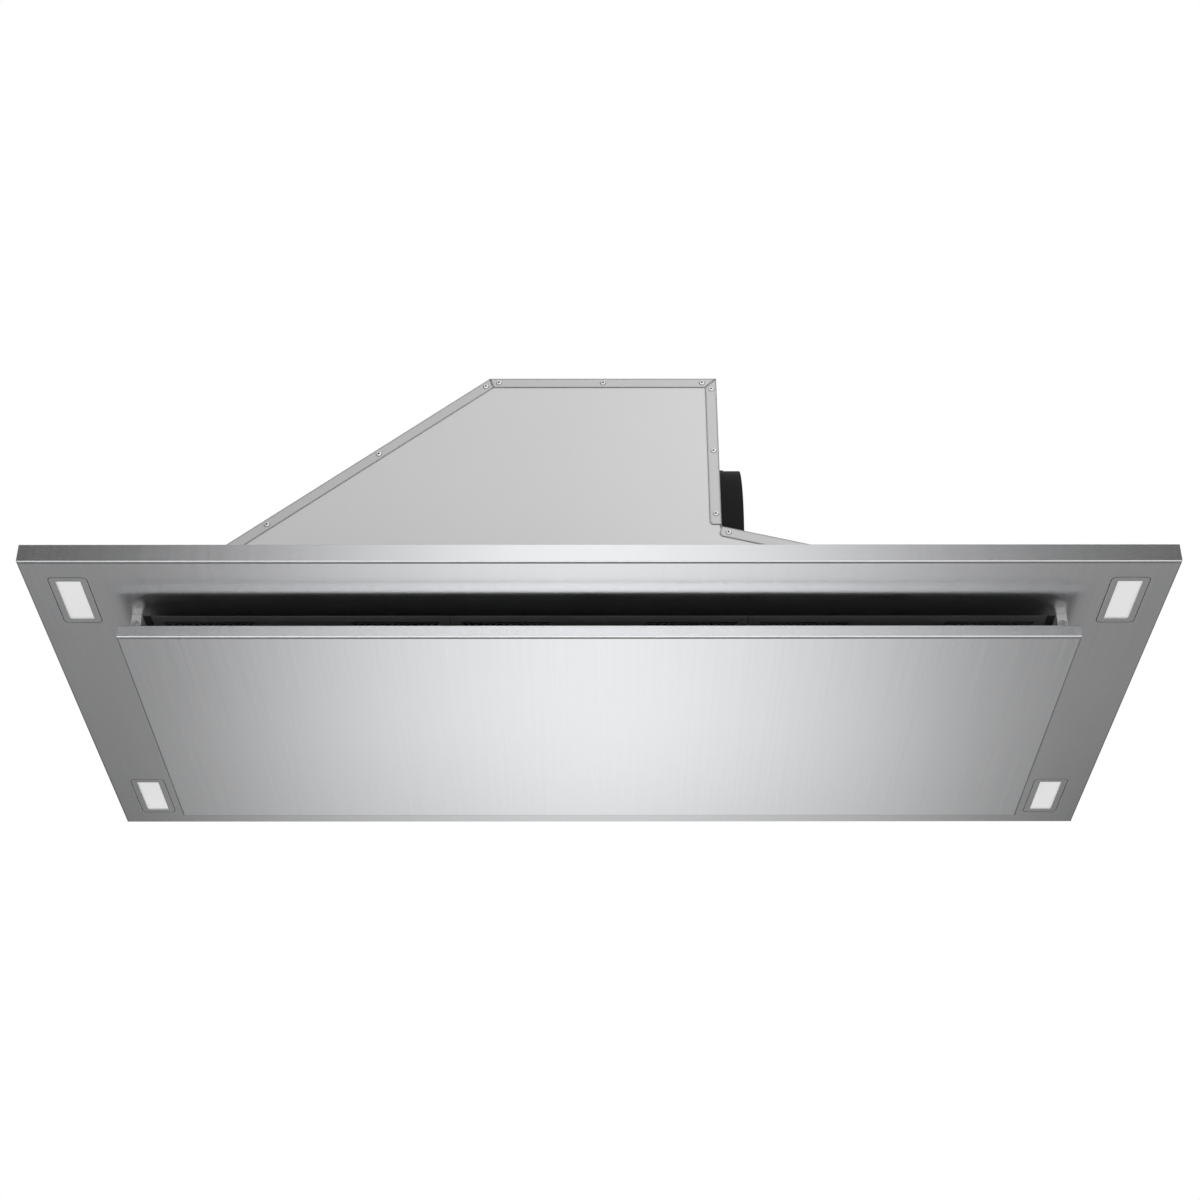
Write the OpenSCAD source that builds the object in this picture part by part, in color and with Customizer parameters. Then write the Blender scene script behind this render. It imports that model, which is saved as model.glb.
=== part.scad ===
// Ceiling range hood: a shallow stainless canopy let into the ceiling, with a perimeter panel
// hung below three mesh filters, and a sheet metal blower body that discharges to one side.
// X runs along the canopy, Y from front to rear, Z up; the origin is the middle of the ceiling plane.

/* [Canopy] */
// Width of the canopy along X
canopy_width = 1200; // [1190:1:1220]
// Depth of the canopy from front to rear
canopy_depth = 600; // [590:1:610]
// Height of the skirt round the canopy
skirt_height = 22; // [21:0.5:26]
// Thickness of the canopy sheet
tray_sheet = 1; // [0.8:0.1:1.2]
// Outer radius of the folded edges
bend_radius = 2.4; // [1.8:0.1:3]
// Width of the folded return at the top of the skirt
rim_return = 12; // [8:1:18]
// Height of the turned up edge round the intake
intake_flange = 16; // [14:0.5:18]

/* [Perimeter panel] */
// Distance from the canopy edge to the panel edge
panel_inset = 90; // [88:0.5:91]
// Clear height of the suction gap between canopy and panel
intake_gap = 21; // [19:0.5:23]
// Height of the folded edge of the panel
panel_lip = 15; // [13:0.5:18]
// Thickness of the panel sheet
panel_sheet = 1; // [0.8:0.1:1.2]
// Distance that the panel reaches past the intake at each end
panel_overlap_x = 22; // [21:0.5:24]
// Distance that the panel reaches past the intake at front and rear
panel_overlap_y = 14; // [13:0.5:15]
// Depth of the black inner tray below the top of the panel edge
inner_tray_drop = 3; // [2.5:0.5:4]
// Corner radius of the inner tray
inner_tray_corner = 18; // [10:1:24]
// Width of the steel frame in front of and behind the inner tray
inner_frame = 20; // [16:0.5:22]

/* [Blower body] */
// Height of the body above the ceiling plane
body_height = 290.5; // [288:0.5:300]
// Depth of the body from front to rear
body_depth = 416; // [412:1:418]
// Thickness of the body sheet
body_sheet = 1; // [0.8:0.1:1.2]
// Place along X where the long slope meets the flat top
top_left_x = -125; // [-130:1:-120]
// Place along X of the outlet wall
wall_x = 134; // [134:0.5:140]
// Height of the outlet wall
wall_height = 204.5; // [203:0.5:209]
// Distance that the foot of the long slope reaches past the intake
slope_foot_reach = 19; // [15:0.5:20]
// Distance that the ramp reaches past the intake
ramp_foot_reach = 27; // [24:0.5:30]
// Height of the ramp at its far end
ramp_end_height = 10.6; // [8:0.1:14]
// Width of the folded seams on the front and rear of the body
seam_width = 12.6; // [12:0.1:14]
// Width of the feet that are spot welded to the canopy
foot_width = 11; // [9:0.5:11]

/* [Filters] */
// Width of the rail at each end of the filters
rail_width = 7.4; // [6.4:0.1:8]
// Thickness of a filter cassette
filter_thickness = 10; // [9.5:0.5:12]
// Width of the filter border
filter_border = 12; // [11:0.5:13]
// Width of the plain strip that carries the handle
handle_strip = 104; // [96:1:110]
// Width of the handle recess
cup_width = 51.6; // [48:0.5:54]
// Length of the handle recess
cup_length = 72; // [68:1:80]
// Depth of the handle recess
cup_depth = 8.6; // [8.2:0.1:9]
// Travel of the filter latch
latch_travel = 7; // [6:0.5:8]

/* [Lamps] */
// Width of the lamp bezel along X
bezel_width = 40; // [38:0.5:44]
// Length of the lamp bezel from front to rear
bezel_length = 88; // [84:1:92]
// Corner radius of the lamp bezel
bezel_corner = 5; // [3:0.5:6]
// Width of the border between the bezel edge and the diffuser
bezel_border = 7; // [6:0.5:8]
// Distance from the end of the canopy to the lamp centre
lamp_inset_x = 46; // [44:0.5:48]
// Distance from the front or rear of the canopy to the lamp centre
lamp_inset_y = 73; // [70:0.5:76]
// Height of the lamp housing above the canopy sheet
lamp_height = 15; // [13:0.5:18]

/* [Duct collar] */
// Outer diameter of the duct collar
collar_diameter = 198; // [194:0.5:198.5]
// Length of collar outside the outlet wall
collar_reach = 34; // [32:1:45]
// Wall thickness of the collar
collar_wall = 2.2; // [1.8:0.1:2.6]

/* [Blower] */
// Outer diameter of the blower wheel
wheel_diameter = 172; // [168:1:174]
// Length of the blower wheel along its axis
wheel_length = 152; // [148:1:154]
// Number of blades round the wheel
blade_count = 36; // [24:2:40]
// Chord of a blade from its inner to its outer edge
blade_chord = 15; // [13:0.5:17]
// Thickness of a blade
blade_thickness = 0.8; // [0.6:0.1:1]
// Growth of the scroll radius at each quarter turn
scroll_growth = 12; // [11:0.5:12.5]
// Inside width of the scroll housing along the axis
scroll_width = 190; // [188:1:194]
// Diameter of the motor
motor_diameter = 92; // [86:1:98]
// Diameter of the motor shaft
shaft_diameter = 8; // [7:0.5:10]
// Throat diameter of the inlet rings
throat_diameter = 140; // [136:1:142]

/* [Hardware] */
// Width of the ball catch
catch_width = 11; // [10.5:0.1:12]
// Length of the ball catch from front to rear
catch_length = 24; // [22:0.5:26]
// Height of the catch axis below the canopy
catch_drop = 12.6; // [12:0.1:13]
// Diameter of the catch ball
ball_diameter = 4.6; // [4.2:0.1:5]
// Diameter of the hinge pin
hinge_pin_diameter = 4; // [3.5:0.1:4.4]
// Shank diameter of the screws
screw_shank = 4; // [3.6:0.1:4.2]
// Head diameter of the screws
screw_head = 7.4; // [7:0.1:7.8]
// Head diameter of the blind rivets
rivet_head = 7; // [6.4:0.1:7.4]
// Diameter of the holes for the ceiling hangers
hanger_hole = 9; // [8:0.5:11]

/* [Hidden] */
$fn = 64;
cut_overrun = 1;
part_clearance = 0.3;
bore_clearance = 0.1;
running_fit = 0.05;

steel_colour = [0.66, 0.67, 0.69];
panel_colour = [0.74, 0.75, 0.77];
galvanised_colour = [0.79, 0.79, 0.79];
black_colour = [0.09, 0.09, 0.1];
dark_colour = [0.2, 0.2, 0.22];
bright_colour = [0.9, 0.9, 0.92];
diffuser_colour = [0.96, 0.96, 0.94];
wheel_colour = [0.55, 0.56, 0.58];
motor_colour = [0.35, 0.36, 0.38];
box_colour = [0.86, 0.86, 0.84];

tray_under_z = -skirt_height;
tray_floor_z = tray_sheet - skirt_height;
panel_width = canopy_width - 2 * panel_inset;
panel_depth = canopy_depth - 2 * panel_inset;
panel_rim_z = tray_under_z - intake_gap;
intake_width = panel_width - 2 * panel_overlap_x;
intake_depth = panel_depth - 2 * panel_overlap_y;
inner_tray_z = panel_rim_z - inner_tray_drop;
inner_opening_depth = panel_depth - 2 * inner_frame;
flange_relief = 20;

// Body outline seen from the front
body_half = body_depth / 2;
panel_face_y = body_half - body_sheet;
slope_foot_x = -intake_width / 2 - slope_foot_reach;
slope_angle = atan2(body_height - tray_floor_z, top_left_x - slope_foot_x);
slope_length = (body_height - tray_floor_z) / sin(slope_angle);
wall_foot_z = body_height - wall_height;
ramp_end_x = intake_width / 2 + ramp_foot_reach;
ramp_end_z = tray_floor_z + ramp_end_height;
ramp_angle = atan2(wall_foot_z - ramp_end_z, ramp_end_x - wall_x);
ramp_length = (ramp_end_x - wall_x) / cos(ramp_angle);
seam_corner = 4.5;
seam_gap = 0.8;
seam_end_rise = 2.3;
foot_end_inset = 26;

function body_outline(inset) = [
    [slope_foot_x + inset / sin(slope_angle), tray_floor_z],
    [top_left_x + inset * tan(slope_angle / 2), body_height - inset],
    [wall_x - inset, body_height - inset],
    [wall_x - inset, wall_foot_z - inset * (1 - sin(ramp_angle)) / cos(ramp_angle)],
    [ramp_end_x - inset, ramp_end_z + inset * (tan(ramp_angle) - 1 / cos(ramp_angle))],
    [ramp_end_x - inset, tray_floor_z]
];
function slope_point(run, inset) = [
    top_left_x - run * cos(slope_angle) + inset * sin(slope_angle),
    body_height - run * sin(slope_angle) - inset * cos(slope_angle)
];
function ramp_point(run, inset) = [
    wall_x + run * cos(ramp_angle) - inset * sin(ramp_angle),
    wall_foot_z - run * sin(ramp_angle) - inset * cos(ramp_angle)
];

// Blind rivets along the seams
rivet_shank = 3.2;
rivet_tail = 4.8;
rivet_tail_length = 2.6;
rivet_head_height = 1.4;
mandrel_hole = 2;
mandrel_depth = 1;
rivet_inset = 6;
rivet_spacing = 151;
slope_rivet_start = 10.5;
ramp_rivet_start = 9;
rivet_end_gap = 20;
top_rivet_from_slope = 10.5;
top_rivet_from_wall = 16.5;
wall_rivet_from_top = 15;
wall_rivet_from_foot = 16.5;
wall_mid_z = (body_height + wall_foot_z) / 2;
top_mid_x = (top_left_x + wall_x) / 2;
rivet_points = concat(
    [for (run = [slope_rivet_start : rivet_spacing : slope_length - rivet_end_gap])
        slope_point(run, rivet_inset)],
    [for (x = [top_left_x + top_rivet_from_slope, top_mid_x, wall_x - top_rivet_from_wall])
        [x, body_height - rivet_inset]],
    [for (z = [body_height - wall_rivet_from_top, wall_mid_z, wall_foot_z + wall_rivet_from_foot])
        [wall_x - rivet_inset, z]],
    [for (run = [ramp_rivet_start : rivet_spacing : ramp_length - rivet_end_gap])
        ramp_point(run, rivet_inset)]
);

// Hangers in the flat top
hanger_spacing_x = 190;
hanger_spacing_y = 340;

// Duct collar and backdraft flaps
collar_r = collar_diameter / 2;
collar_bore = collar_r - collar_wall;
collar_top_gap = 2.2;
collar_stop = 1;
collar_stop_reach = 14;
collar_z = body_height - body_sheet - collar_top_gap - collar_r;
collar_plate = 2;
collar_plate_depth = 232;
collar_plate_in_x = wall_x - body_sheet - collar_plate;
collar_rim_x = wall_x + collar_reach;
collar_screw_y = 108;
collar_screw_z = 84;
flap_setback = 10;
flap_x = wall_x + flap_setback;
flap_sheet = 1.2;
flap_edge_gap = 1;
flap_pin = 3;
flap_knuckle = 6;
flap_pin_y = 3.6;
flap_r = collar_bore - flap_edge_gap;
knuckle_share = 0.62;
knuckle_half = flap_r * knuckle_share;
rim_bead = 1.2;
rim_bead_width = 3;
damper_coil_length = 8;
damper_coil_pitch = 1.6;

// Blower scroll, with its four arcs set out round a square
scroll_head_gap = 4.5;
scroll_sheet = 1;
scroll_lead_in = 104;
scroll_top = scroll_lead_in + 2.5 * scroll_growth;
wheel_x = 0;
wheel_z = body_height - body_sheet - scroll_head_gap - scroll_sheet - scroll_top;
wheel_r = wheel_diameter / 2;
wheel_half = wheel_length / 2;
scroll_half = scroll_width / 2;
outlet_half = 95;
outlet_floor_z = collar_z - outlet_half;
outlet_end_x = collar_plate_in_x;
blade_inner_r = wheel_r - blade_chord - blade_thickness;
blade_bow_r = 12;
rim_ring_width = 4;
rim_ring_depth = 5;
hub_disc = 1.6;
hub_r = 16;
hub_half = 9;
shaft_r = shaft_diameter / 2;
shaft_front = 14;

// Inlet rings and motor
throat_r = throat_diameter / 2;
bell_r = 13;
inlet_flange_r = 104;
inlet_sheet = 1;
inlet_hole_gap = 1.2;
inlet_hole_r = throat_r + bell_r + inlet_hole_gap;
throat_gap = 2;
inlet_screw_r = 98;
motor_r = motor_diameter / 2;
motor_front_y = 12;
motor_rear_y = scroll_half + scroll_sheet + inlet_sheet;
motor_edge = 6;
arm_thickness = 3;
arm_width = 12;
arm_ring_r = 38;
arm_ring_bore = 18;
motor_screw_r = 30;
bracket_sheet = 1.5;
bracket_width = 26;
bracket_drop = 26;
bracket_tab = 24;
bracket_near_x = 22;
bracket_far_x = 98;
bracket_places = [bracket_near_x, bracket_far_x];

// Filters
filter_gap = 0.6;
filter_fore_gap = 0.5;
filter_pitch = (intake_width - 2 * rail_width - 2 * filter_gap) / 3;
filter_width = filter_pitch - filter_gap;
filter_depth = intake_depth - 2 * filter_fore_gap;
filter_half = filter_depth / 2;
window_span = filter_width - 2 * filter_border;
window_width = (window_span - handle_strip) / 2;
window_depth = filter_depth - 2 * filter_border;
window_x = (handle_strip + window_width) / 2;
strip_sheet = 2;
strip_rise = 1.2;
mesh_sheet = 1.2;
mesh_bite = 3;
mesh_columns = 5;
mesh_rows = 32;
mesh_strand = 1.5;
mesh_window_inset = 6;
mitre_groove = 0.5;
mitre_depth = 0.4;
cup_wall = 1.2;
cup_start = 8.4;
cup_r = cup_width / 2;
cup_mid_y = cup_start + cup_length / 2 - window_depth / 2;
latch_bolt_width = 12;
latch_bolt_height = 2.4;
latch_bolt_level = 4.4;
latch_clearance = 1;
latch_bolt_reach = latch_travel - tray_sheet - filter_fore_gap - latch_clearance;
latch_pad_width = 26;
latch_pad_length = 24;
latch_pad_level = 2.2;
latch_grip = 4;
latch_pad_front = 11;
latch_floor_gap = 0.4;
tab_width = 30;
tab_sheet = 2;
tab_level = 5;
tab_reach = 5;
tab_inset = 69.7;
tab_x = filter_width / 2 - tab_inset;
spring_wire = 1;
spring_coil = 2.2;
spring_pitch = 4.6;
spring_seat_gap = 0.2;
coil_slices = 8;
coil_steps = 5;
rail_sheet = 1;
rail_lip = 6;

// Lamps
lamp_x = canopy_width / 2 - lamp_inset_x;
lamp_y = canopy_depth / 2 - lamp_inset_y;
lamp_groove = 0.7;
lamp_lip = 1.6;
diffuser_sheet = 2;
diffuser_bite = 2;
bezel_height = 4.6;
housing_wall = 1.2;
housing_step = 2.4;
housing_flange = 6;
fin_count = 7;
fin_depth = 3;
fin_sheet = 1.2;

// Hinges, catches and screws
hinge_inset_x = 80;
hinge_x = panel_width / 2 - hinge_inset_x;
hinge_inset_y = 7;
hinge_y = panel_depth / 2 - hinge_inset_y;
hinge_rise = 7;
hinge_z = panel_rim_z + hinge_rise;
hinge_plate = 3;
hinge_plate_width = 40;
hinge_plate_back = 29;
hinge_ear = 3;
hinge_ear_r = 5;
hinge_knuckle_r = 4.6;
hinge_leaf_width = 17;
hinge_leaf_sheet = 2;
leaf_top_z = inner_tray_z + hinge_leaf_sheet;
hinge_leaf_length = 34;
hinge_leaf_screw_y = 24;
hinge_screw_back = 23;
hinge_screw_x = 12;
hinge_pin_head = 6.6;
hinge_pin_head_length = 1.6;
catch_side_gap = 0.6;
catch_x = intake_width / 2 + catch_side_gap + catch_width / 2;
catch_inset_y = 11;
catch_front_y = catch_inset_y - panel_depth / 2;
catch_mid_y = catch_front_y + catch_length / 2;
catch_z = tray_under_z - catch_drop;
catch_slot = 5.4;
catch_slot_rise = 6.4;
catch_bore = 5;
catch_screw_spacing = 13;
strike_sheet = 3;
strike_width = 8;
strike_rise = 3.2;
strike_hole = 3;
strike_base = 2;
strike_top_z = inner_tray_z + strike_base;
strike_base_length = 30;
strike_screw_spacing = 20;
ball_stand_out = 0.5;
adjuster_head_r = 4.4;
adjuster_head = 1.2;
adjuster_slot = 1.1;
adjuster_length = 3.2;
screw_head_height = 2.4;
screw_length = 5;
screw_cross = 3.6;
screw_cross_width = 0.9;
screw_cross_depth = 1.2;
catch_spring_coil = 1.8;
catch_spring_wire = 0.6;
catch_spring_pitch = 1.1;

// Electrical pieces on the rear sheet
box_z = 66;
box_width = 156;
box_height = 92;
box_depth = 44;
box_rear_y = panel_face_y - body_sheet;
box_front_y = box_rear_y - box_depth;
box_slope_gap = 31.9;
box_top_z = box_z + box_height / 2;
box_left_x = top_left_x - (body_height - box_top_z) / tan(slope_angle) + box_slope_gap;
box_x = box_left_x + box_width / 2;
box_wall = 1.5;
box_lid = 1.5;
box_lid_lip = 6;
box_screw_x = 68;
box_screw_z = 36;
box_boss_r = 4.5;
gland_side = 30;
gland_drop = 22;
gland_x = box_x - gland_side;
gland_z = box_z - gland_drop;
gland_bore = 8;
gland_thread = 16;
gland_hex = 22;
gland_hex_height = 6;
gland_cap = 19;
gland_cap_height = 12;
gland_nut_height = 4;
capacitor_x = 30;
capacitor_z = 66;
capacitor_r = 17.5;
capacitor_length = 66;
capacitor_rim = 1.4;
capacitor_stud = 8;
capacitor_nut = 15;
capacitor_nut_height = 5;

// Shared outlines
module rounded_plate(size_x, size_y, radius) {
    square([size_x - 2 * radius, size_y], center = true);
    square([size_x, size_y - 2 * radius], center = true);
    for (side_x = [-1, 1], side_y = [-1, 1])
        translate([side_x * (size_x / 2 - radius), side_y * (size_y / 2 - radius)]) circle(radius);
}

module stadium(size_x, size_y) {
    square([size_x, size_y - size_x], center = true);
    for (side = [-1, 1])
        translate([0, side * (size_y - size_x) / 2]) circle(size_x / 2);
}

module folded_profile(span, drop, radius, rise) {
    translate([-span / 2, radius - drop]) square([span, drop - radius + rise]);
    translate([radius - span / 2, -drop]) square([span - 2 * radius, drop]);
    for (side = [-1, 1])
        translate([side * (span / 2 - radius), radius - drop]) circle(radius);
}

module folded_block(size_x, size_y, drop, radius, rise) {
    intersection() {
        rotate([90, 0, 0])
            linear_extrude(height = size_y, center = true) folded_profile(size_x, drop, radius, rise);
        rotate([90, 0, 90])
            linear_extrude(height = size_x, center = true) folded_profile(size_y, drop, radius, rise);
    }
}

// An outline in X and Z, given thickness along Y
module upright(from_y, depth) {
    translate([0, from_y + depth, 0]) rotate([90, 0, 0]) linear_extrude(height = depth) children();
}

// An outline in Y and Z, given thickness along X
module across(from_x, width) {
    translate([from_x, 0, 0]) rotate([90, 0, 90]) linear_extrude(height = width) children();
}

// An outline in X and Y, given thickness along Z
module level(from_z, height) {
    translate([0, 0, from_z]) linear_extrude(height = height) children();
}

// Fasteners stand on the origin with the head along Z and the shank below
module pan_screw() {
    difference() {
        union() {
            cylinder(h = screw_head_height, r = screw_head / 2);
            translate([0, 0, -screw_length]) cylinder(h = screw_length, r = screw_shank / 2);
        }
        for (turn = [0, 90])
            rotate([0, 0, turn])
                translate([-screw_cross / 2, -screw_cross_width / 2, screw_head_height - screw_cross_depth])
                    cube([screw_cross, screw_cross_width, screw_cross_depth + cut_overrun]);
    }
}

module blind_rivet() {
    head_r = rivet_head / 2;
    dome_r = (head_r * head_r + rivet_head_height * rivet_head_height) / (2 * rivet_head_height);
    difference() {
        union() {
            intersection() {
                translate([0, 0, rivet_head_height - dome_r]) sphere(dome_r);
                cylinder(h = rivet_head_height, r = head_r);
            }
            translate([0, 0, -2 * body_sheet]) cylinder(h = 2 * body_sheet, r = rivet_shank / 2);
            translate([0, 0, -2 * body_sheet - rivet_tail_length])
                cylinder(h = rivet_tail_length, r = rivet_tail / 2);
        }
        translate([0, 0, rivet_head_height - mandrel_depth])
            cylinder(h = mandrel_depth + cut_overrun, r = mandrel_hole / 2);
    }
}

// A round hole through a body sheet that lies on the origin
module sheet_hole(diameter) {
    cylinder(h = 2 * body_sheet + 2 * cut_overrun, r = diameter / 2 + bore_clearance, center = true);
}

module screw_hole(depth) {
    translate([0, 0, -depth - cut_overrun])
        cylinder(h = depth + 2 * cut_overrun, r = screw_shank / 2 + bore_clearance);
}

// A helical spring, its section in each level plane being a short arc of the coil
function on_circle(radius, angle) = [radius * cos(angle), radius * sin(angle)];

module coil(length, pitch, coil_r, wire) {
    turns = length / pitch;
    arc_share = wire / pitch;
    linear_extrude(height = length, twist = -360 * turns, slices = ceil(turns * coil_slices), $fn = 6)
        polygon(concat(
            [for (step = [0 : coil_steps])
                on_circle(coil_r + wire / 2, (step / coil_steps - 1 / 2) * 360 * arc_share)],
            [for (step = [coil_steps : -1 : 0])
                on_circle(coil_r - wire / 2, (step / coil_steps - 1 / 2) * 360 * arc_share)]
        ));
}

// Places shared by the pieces that meet there
module at_lamp(side_x, side_y) {
    translate([side_x * lamp_x, side_y * lamp_y, 0]) children();
}

module at_catch_screws(side) {
    for (step = [-1, 1])
        translate([side * catch_x, catch_mid_y + step * catch_screw_spacing / 2, tray_floor_z]) children();
}

module at_hinge_screws(side) {
    for (step = [-1, 1])
        translate([side * hinge_x + step * hinge_screw_x, hinge_y + hinge_screw_back, tray_floor_z])
            children();
}

module at_leaf_screws(side) {
    translate([side * hinge_x, hinge_y - hinge_leaf_screw_y, leaf_top_z]) children();
}

module at_strike_screws(side) {
    for (step = [-1, 1])
        translate([side * catch_x, catch_mid_y + step * strike_screw_spacing / 2, strike_top_z]) children();
}

module at_filter(index) {
    translate([index * filter_pitch, 0, tray_under_z]) children();
}

module at_rivets() {
    for (point = rivet_points)
        translate([point[0], 0, point[1]]) children();
}

module at_bracket_screws() {
    for (place = bracket_places, side = [-1, 1])
        translate([place, side * (scroll_half + scroll_sheet + bracket_tab / 2 + bracket_sheet), body_height])
            children();
}

module at_collar_screws() {
    for (side_y = [-1, 1], side_z = [-1, 1])
        translate([wall_x, side_y * collar_screw_y, collar_z + side_z * collar_screw_z])
            rotate([0, 90, 0]) children();
}

module at_arm_screws(radius) {
    for (turn = [90, 210, 330])
        translate([wheel_x + radius * cos(turn), motor_rear_y + arm_thickness, wheel_z + radius * sin(turn)])
            rotate([-90, 0, 0]) children();
}

module at_lid_screws() {
    for (side_x = [-1, 1], side_z = [-1, 1])
        translate([box_x + side_x * box_screw_x, box_front_y - box_lid, box_z + side_z * box_screw_z])
            rotate([90, 0, 0]) children();
}

// Canopy
module canopy_tray() {
    inner_width = canopy_width - 2 * tray_sheet;
    inner_depth = canopy_depth - 2 * tray_sheet;
    inner_drop = skirt_height - tray_sheet;
    color(steel_colour) difference() {
        union() {
            difference() {
                folded_block(canopy_width, canopy_depth, skirt_height, bend_radius, 0);
                folded_block(inner_width, inner_depth, inner_drop, bend_radius - tray_sheet, cut_overrun);
            }
            level(-tray_sheet, tray_sheet) difference() {
                square([canopy_width, canopy_depth], center = true);
                square([canopy_width - 2 * rim_return, canopy_depth - 2 * rim_return], center = true);
            }
            level(tray_under_z, filter_thickness)
                square([intake_width + 2 * tray_sheet, intake_depth + 2 * tray_sheet], center = true);
            level(tray_under_z, intake_flange)
                square([intake_width - 2 * flange_relief, intake_depth + 2 * tray_sheet], center = true);
        }
        level(tray_under_z - cut_overrun, intake_flange + 2 * cut_overrun)
            square([intake_width, intake_depth], center = true);
        for (side_x = [-1, 1], side_y = [-1, 1])
            at_lamp(side_x, side_y) level(tray_under_z - cut_overrun, tray_sheet + 2 * cut_overrun)
                rounded_plate(bezel_width + 2 * lamp_groove, bezel_length + 2 * lamp_groove,
                    bezel_corner + lamp_groove);
        for (side = [-1, 1]) {
            at_catch_screws(side) screw_hole(tray_sheet);
            at_hinge_screws(side) screw_hole(tray_sheet);
        }
        for (index = [-1 : 1])
            at_filter(index) {
                latch_slot();
                tab_slots();
            }
    }
}

module latch_slot() {
    slot_width = latch_bolt_width + 2 * part_clearance;
    slot_height = latch_bolt_height + 2 * part_clearance;
    slot_from = -intake_depth / 2 - tray_sheet - cut_overrun;
    translate([-slot_width / 2, slot_from, latch_bolt_level - part_clearance])
        cube([slot_width, tray_sheet + 2 * cut_overrun, slot_height]);
}

module tab_slots() {
    slot_width = tab_width + 2 * part_clearance;
    for (side = [-1, 1])
        translate([side * tab_x - slot_width / 2, intake_depth / 2 - cut_overrun, tab_level])
            cube([slot_width, tray_sheet + 2 * cut_overrun, tab_sheet + part_clearance]);
}

// Lamps
module lamp_bezel(side_x, side_y) {
    lamp_window_width = bezel_width - 2 * bezel_border;
    lamp_window_length = bezel_length - 2 * bezel_border;
    color(steel_colour) at_lamp(side_x, side_y) difference() {
        level(tray_under_z, bezel_height) rounded_plate(bezel_width, bezel_length, bezel_corner);
        level(tray_under_z - cut_overrun, bezel_height + 2 * cut_overrun)
            square([lamp_window_width, lamp_window_length], center = true);
        level(tray_under_z + lamp_lip, bezel_height)
            square([lamp_window_width + 2 * diffuser_bite + 2 * part_clearance,
                lamp_window_length + 2 * diffuser_bite + 2 * part_clearance], center = true);
    }
}

module lamp_diffuser(side_x, side_y) {
    color(diffuser_colour) at_lamp(side_x, side_y) level(tray_under_z + lamp_lip, diffuser_sheet)
        square([bezel_width - 2 * bezel_border + 2 * diffuser_bite,
            bezel_length - 2 * bezel_border + 2 * diffuser_bite], center = true);
}

module lamp_housing(side_x, side_y) {
    pocket_width = bezel_width + 2 * lamp_groove;
    pocket_length = bezel_length + 2 * lamp_groove;
    pocket_top = tray_under_z + bezel_height;
    outer_width = pocket_width + 2 * housing_wall;
    outer_length = pocket_length + 2 * housing_wall;
    color(galvanised_colour) at_lamp(side_x, side_y) difference() {
        union() {
            level(tray_floor_z, housing_wall)
                rounded_plate(outer_width + 2 * housing_flange, outer_length + 2 * housing_flange,
                    bezel_corner + housing_wall);
            level(tray_floor_z, lamp_height)
                rounded_plate(outer_width, outer_length, bezel_corner + housing_wall);
        }
        level(tray_floor_z - cut_overrun, pocket_top - tray_floor_z + cut_overrun)
            rounded_plate(pocket_width, pocket_length, bezel_corner + lamp_groove);
        level(tray_floor_z, lamp_height - fin_depth - housing_wall)
            rounded_plate(pocket_width - 2 * housing_step, pocket_length - 2 * housing_step, bezel_corner);
        for (step = [1 : fin_count])
            translate([-outer_width, (step / (fin_count + 1) - 1 / 2) * outer_length - fin_sheet,
                tray_floor_z + lamp_height - fin_depth])
                cube([2 * outer_width, 2 * fin_sheet, fin_depth + cut_overrun]);
    }
}

// Blower body
module body_face_sheet(side) {
    foot_front = side > 0 ? panel_face_y - body_sheet : -panel_face_y - foot_width;
    difference() {
        union() {
            upright(side > 0 ? panel_face_y - body_sheet : -panel_face_y, body_sheet)
                polygon(body_outline(body_sheet));
            translate([slope_foot_x + foot_end_inset, foot_front, tray_floor_z])
                cube([ramp_end_x - slope_foot_x - 2 * foot_end_inset, foot_width + body_sheet, body_sheet]);
        }
        at_rivets() translate([0, side * panel_face_y, 0]) rotate([90, 0, 0])
            sheet_hole(rivet_shank);
    }
}

module body_front_sheet() {
    color(galvanised_colour) body_face_sheet(-1);
}

module body_rear_sheet() {
    color(galvanised_colour) difference() {
        body_face_sheet(1);
        translate([gland_x, panel_face_y, gland_z]) rotate([90, 0, 0]) sheet_hole(gland_thread);
        translate([capacitor_x, panel_face_y, capacitor_z]) rotate([90, 0, 0]) sheet_hole(capacitor_stud);
    }
}

module band(width) {
    difference() {
        polygon(body_outline(0));
        polygon(body_outline(width));
    }
}

// Everything at or left of the outlet wall and above the foot of it
module left_of_wall(foot_z) {
    translate([slope_foot_x - cut_overrun, tray_floor_z])
        square([wall_x - slope_foot_x - seam_width - cut_overrun, body_height]);
    translate([slope_foot_x, foot_z])
        square([wall_x - slope_foot_x, body_height]);
}

module wrap_seam() {
    mitre_run = seam_width * 3;
    difference() {
        intersection() {
            band(seam_width);
            left_of_wall(wall_foot_z + seam_end_rise);
        }
        translate([top_left_x, body_height]) rotate(slope_angle / 2 - 90)
            translate([0, -seam_gap / 2]) square([mitre_run, seam_gap]);
        translate([wall_x, body_height]) rotate(-135)
            translate([0, -seam_gap / 2]) square([mitre_run, seam_gap]);
        translate([wall_x - seam_width, wall_foot_z + seam_end_rise]) difference() {
            square(2 * seam_corner, center = true);
            translate([seam_corner, seam_corner]) circle(seam_corner);
            translate([seam_corner, -seam_corner]) square(3 * seam_corner);
            translate([-seam_corner, seam_corner]) square(3 * seam_corner);
        }
    }
}

module ramp_seam() {
    intersection() {
        polygon(body_outline(0));
        translate([wall_x, wall_foot_z]) rotate(-ramp_angle) {
            translate([seam_corner, -seam_width]) square([ramp_length, seam_width]);
            translate([0, seam_corner - seam_width]) square([2 * seam_corner, seam_width - seam_corner]);
            translate([seam_corner, seam_corner - seam_width]) circle(seam_corner);
        }
    }
}

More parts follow.
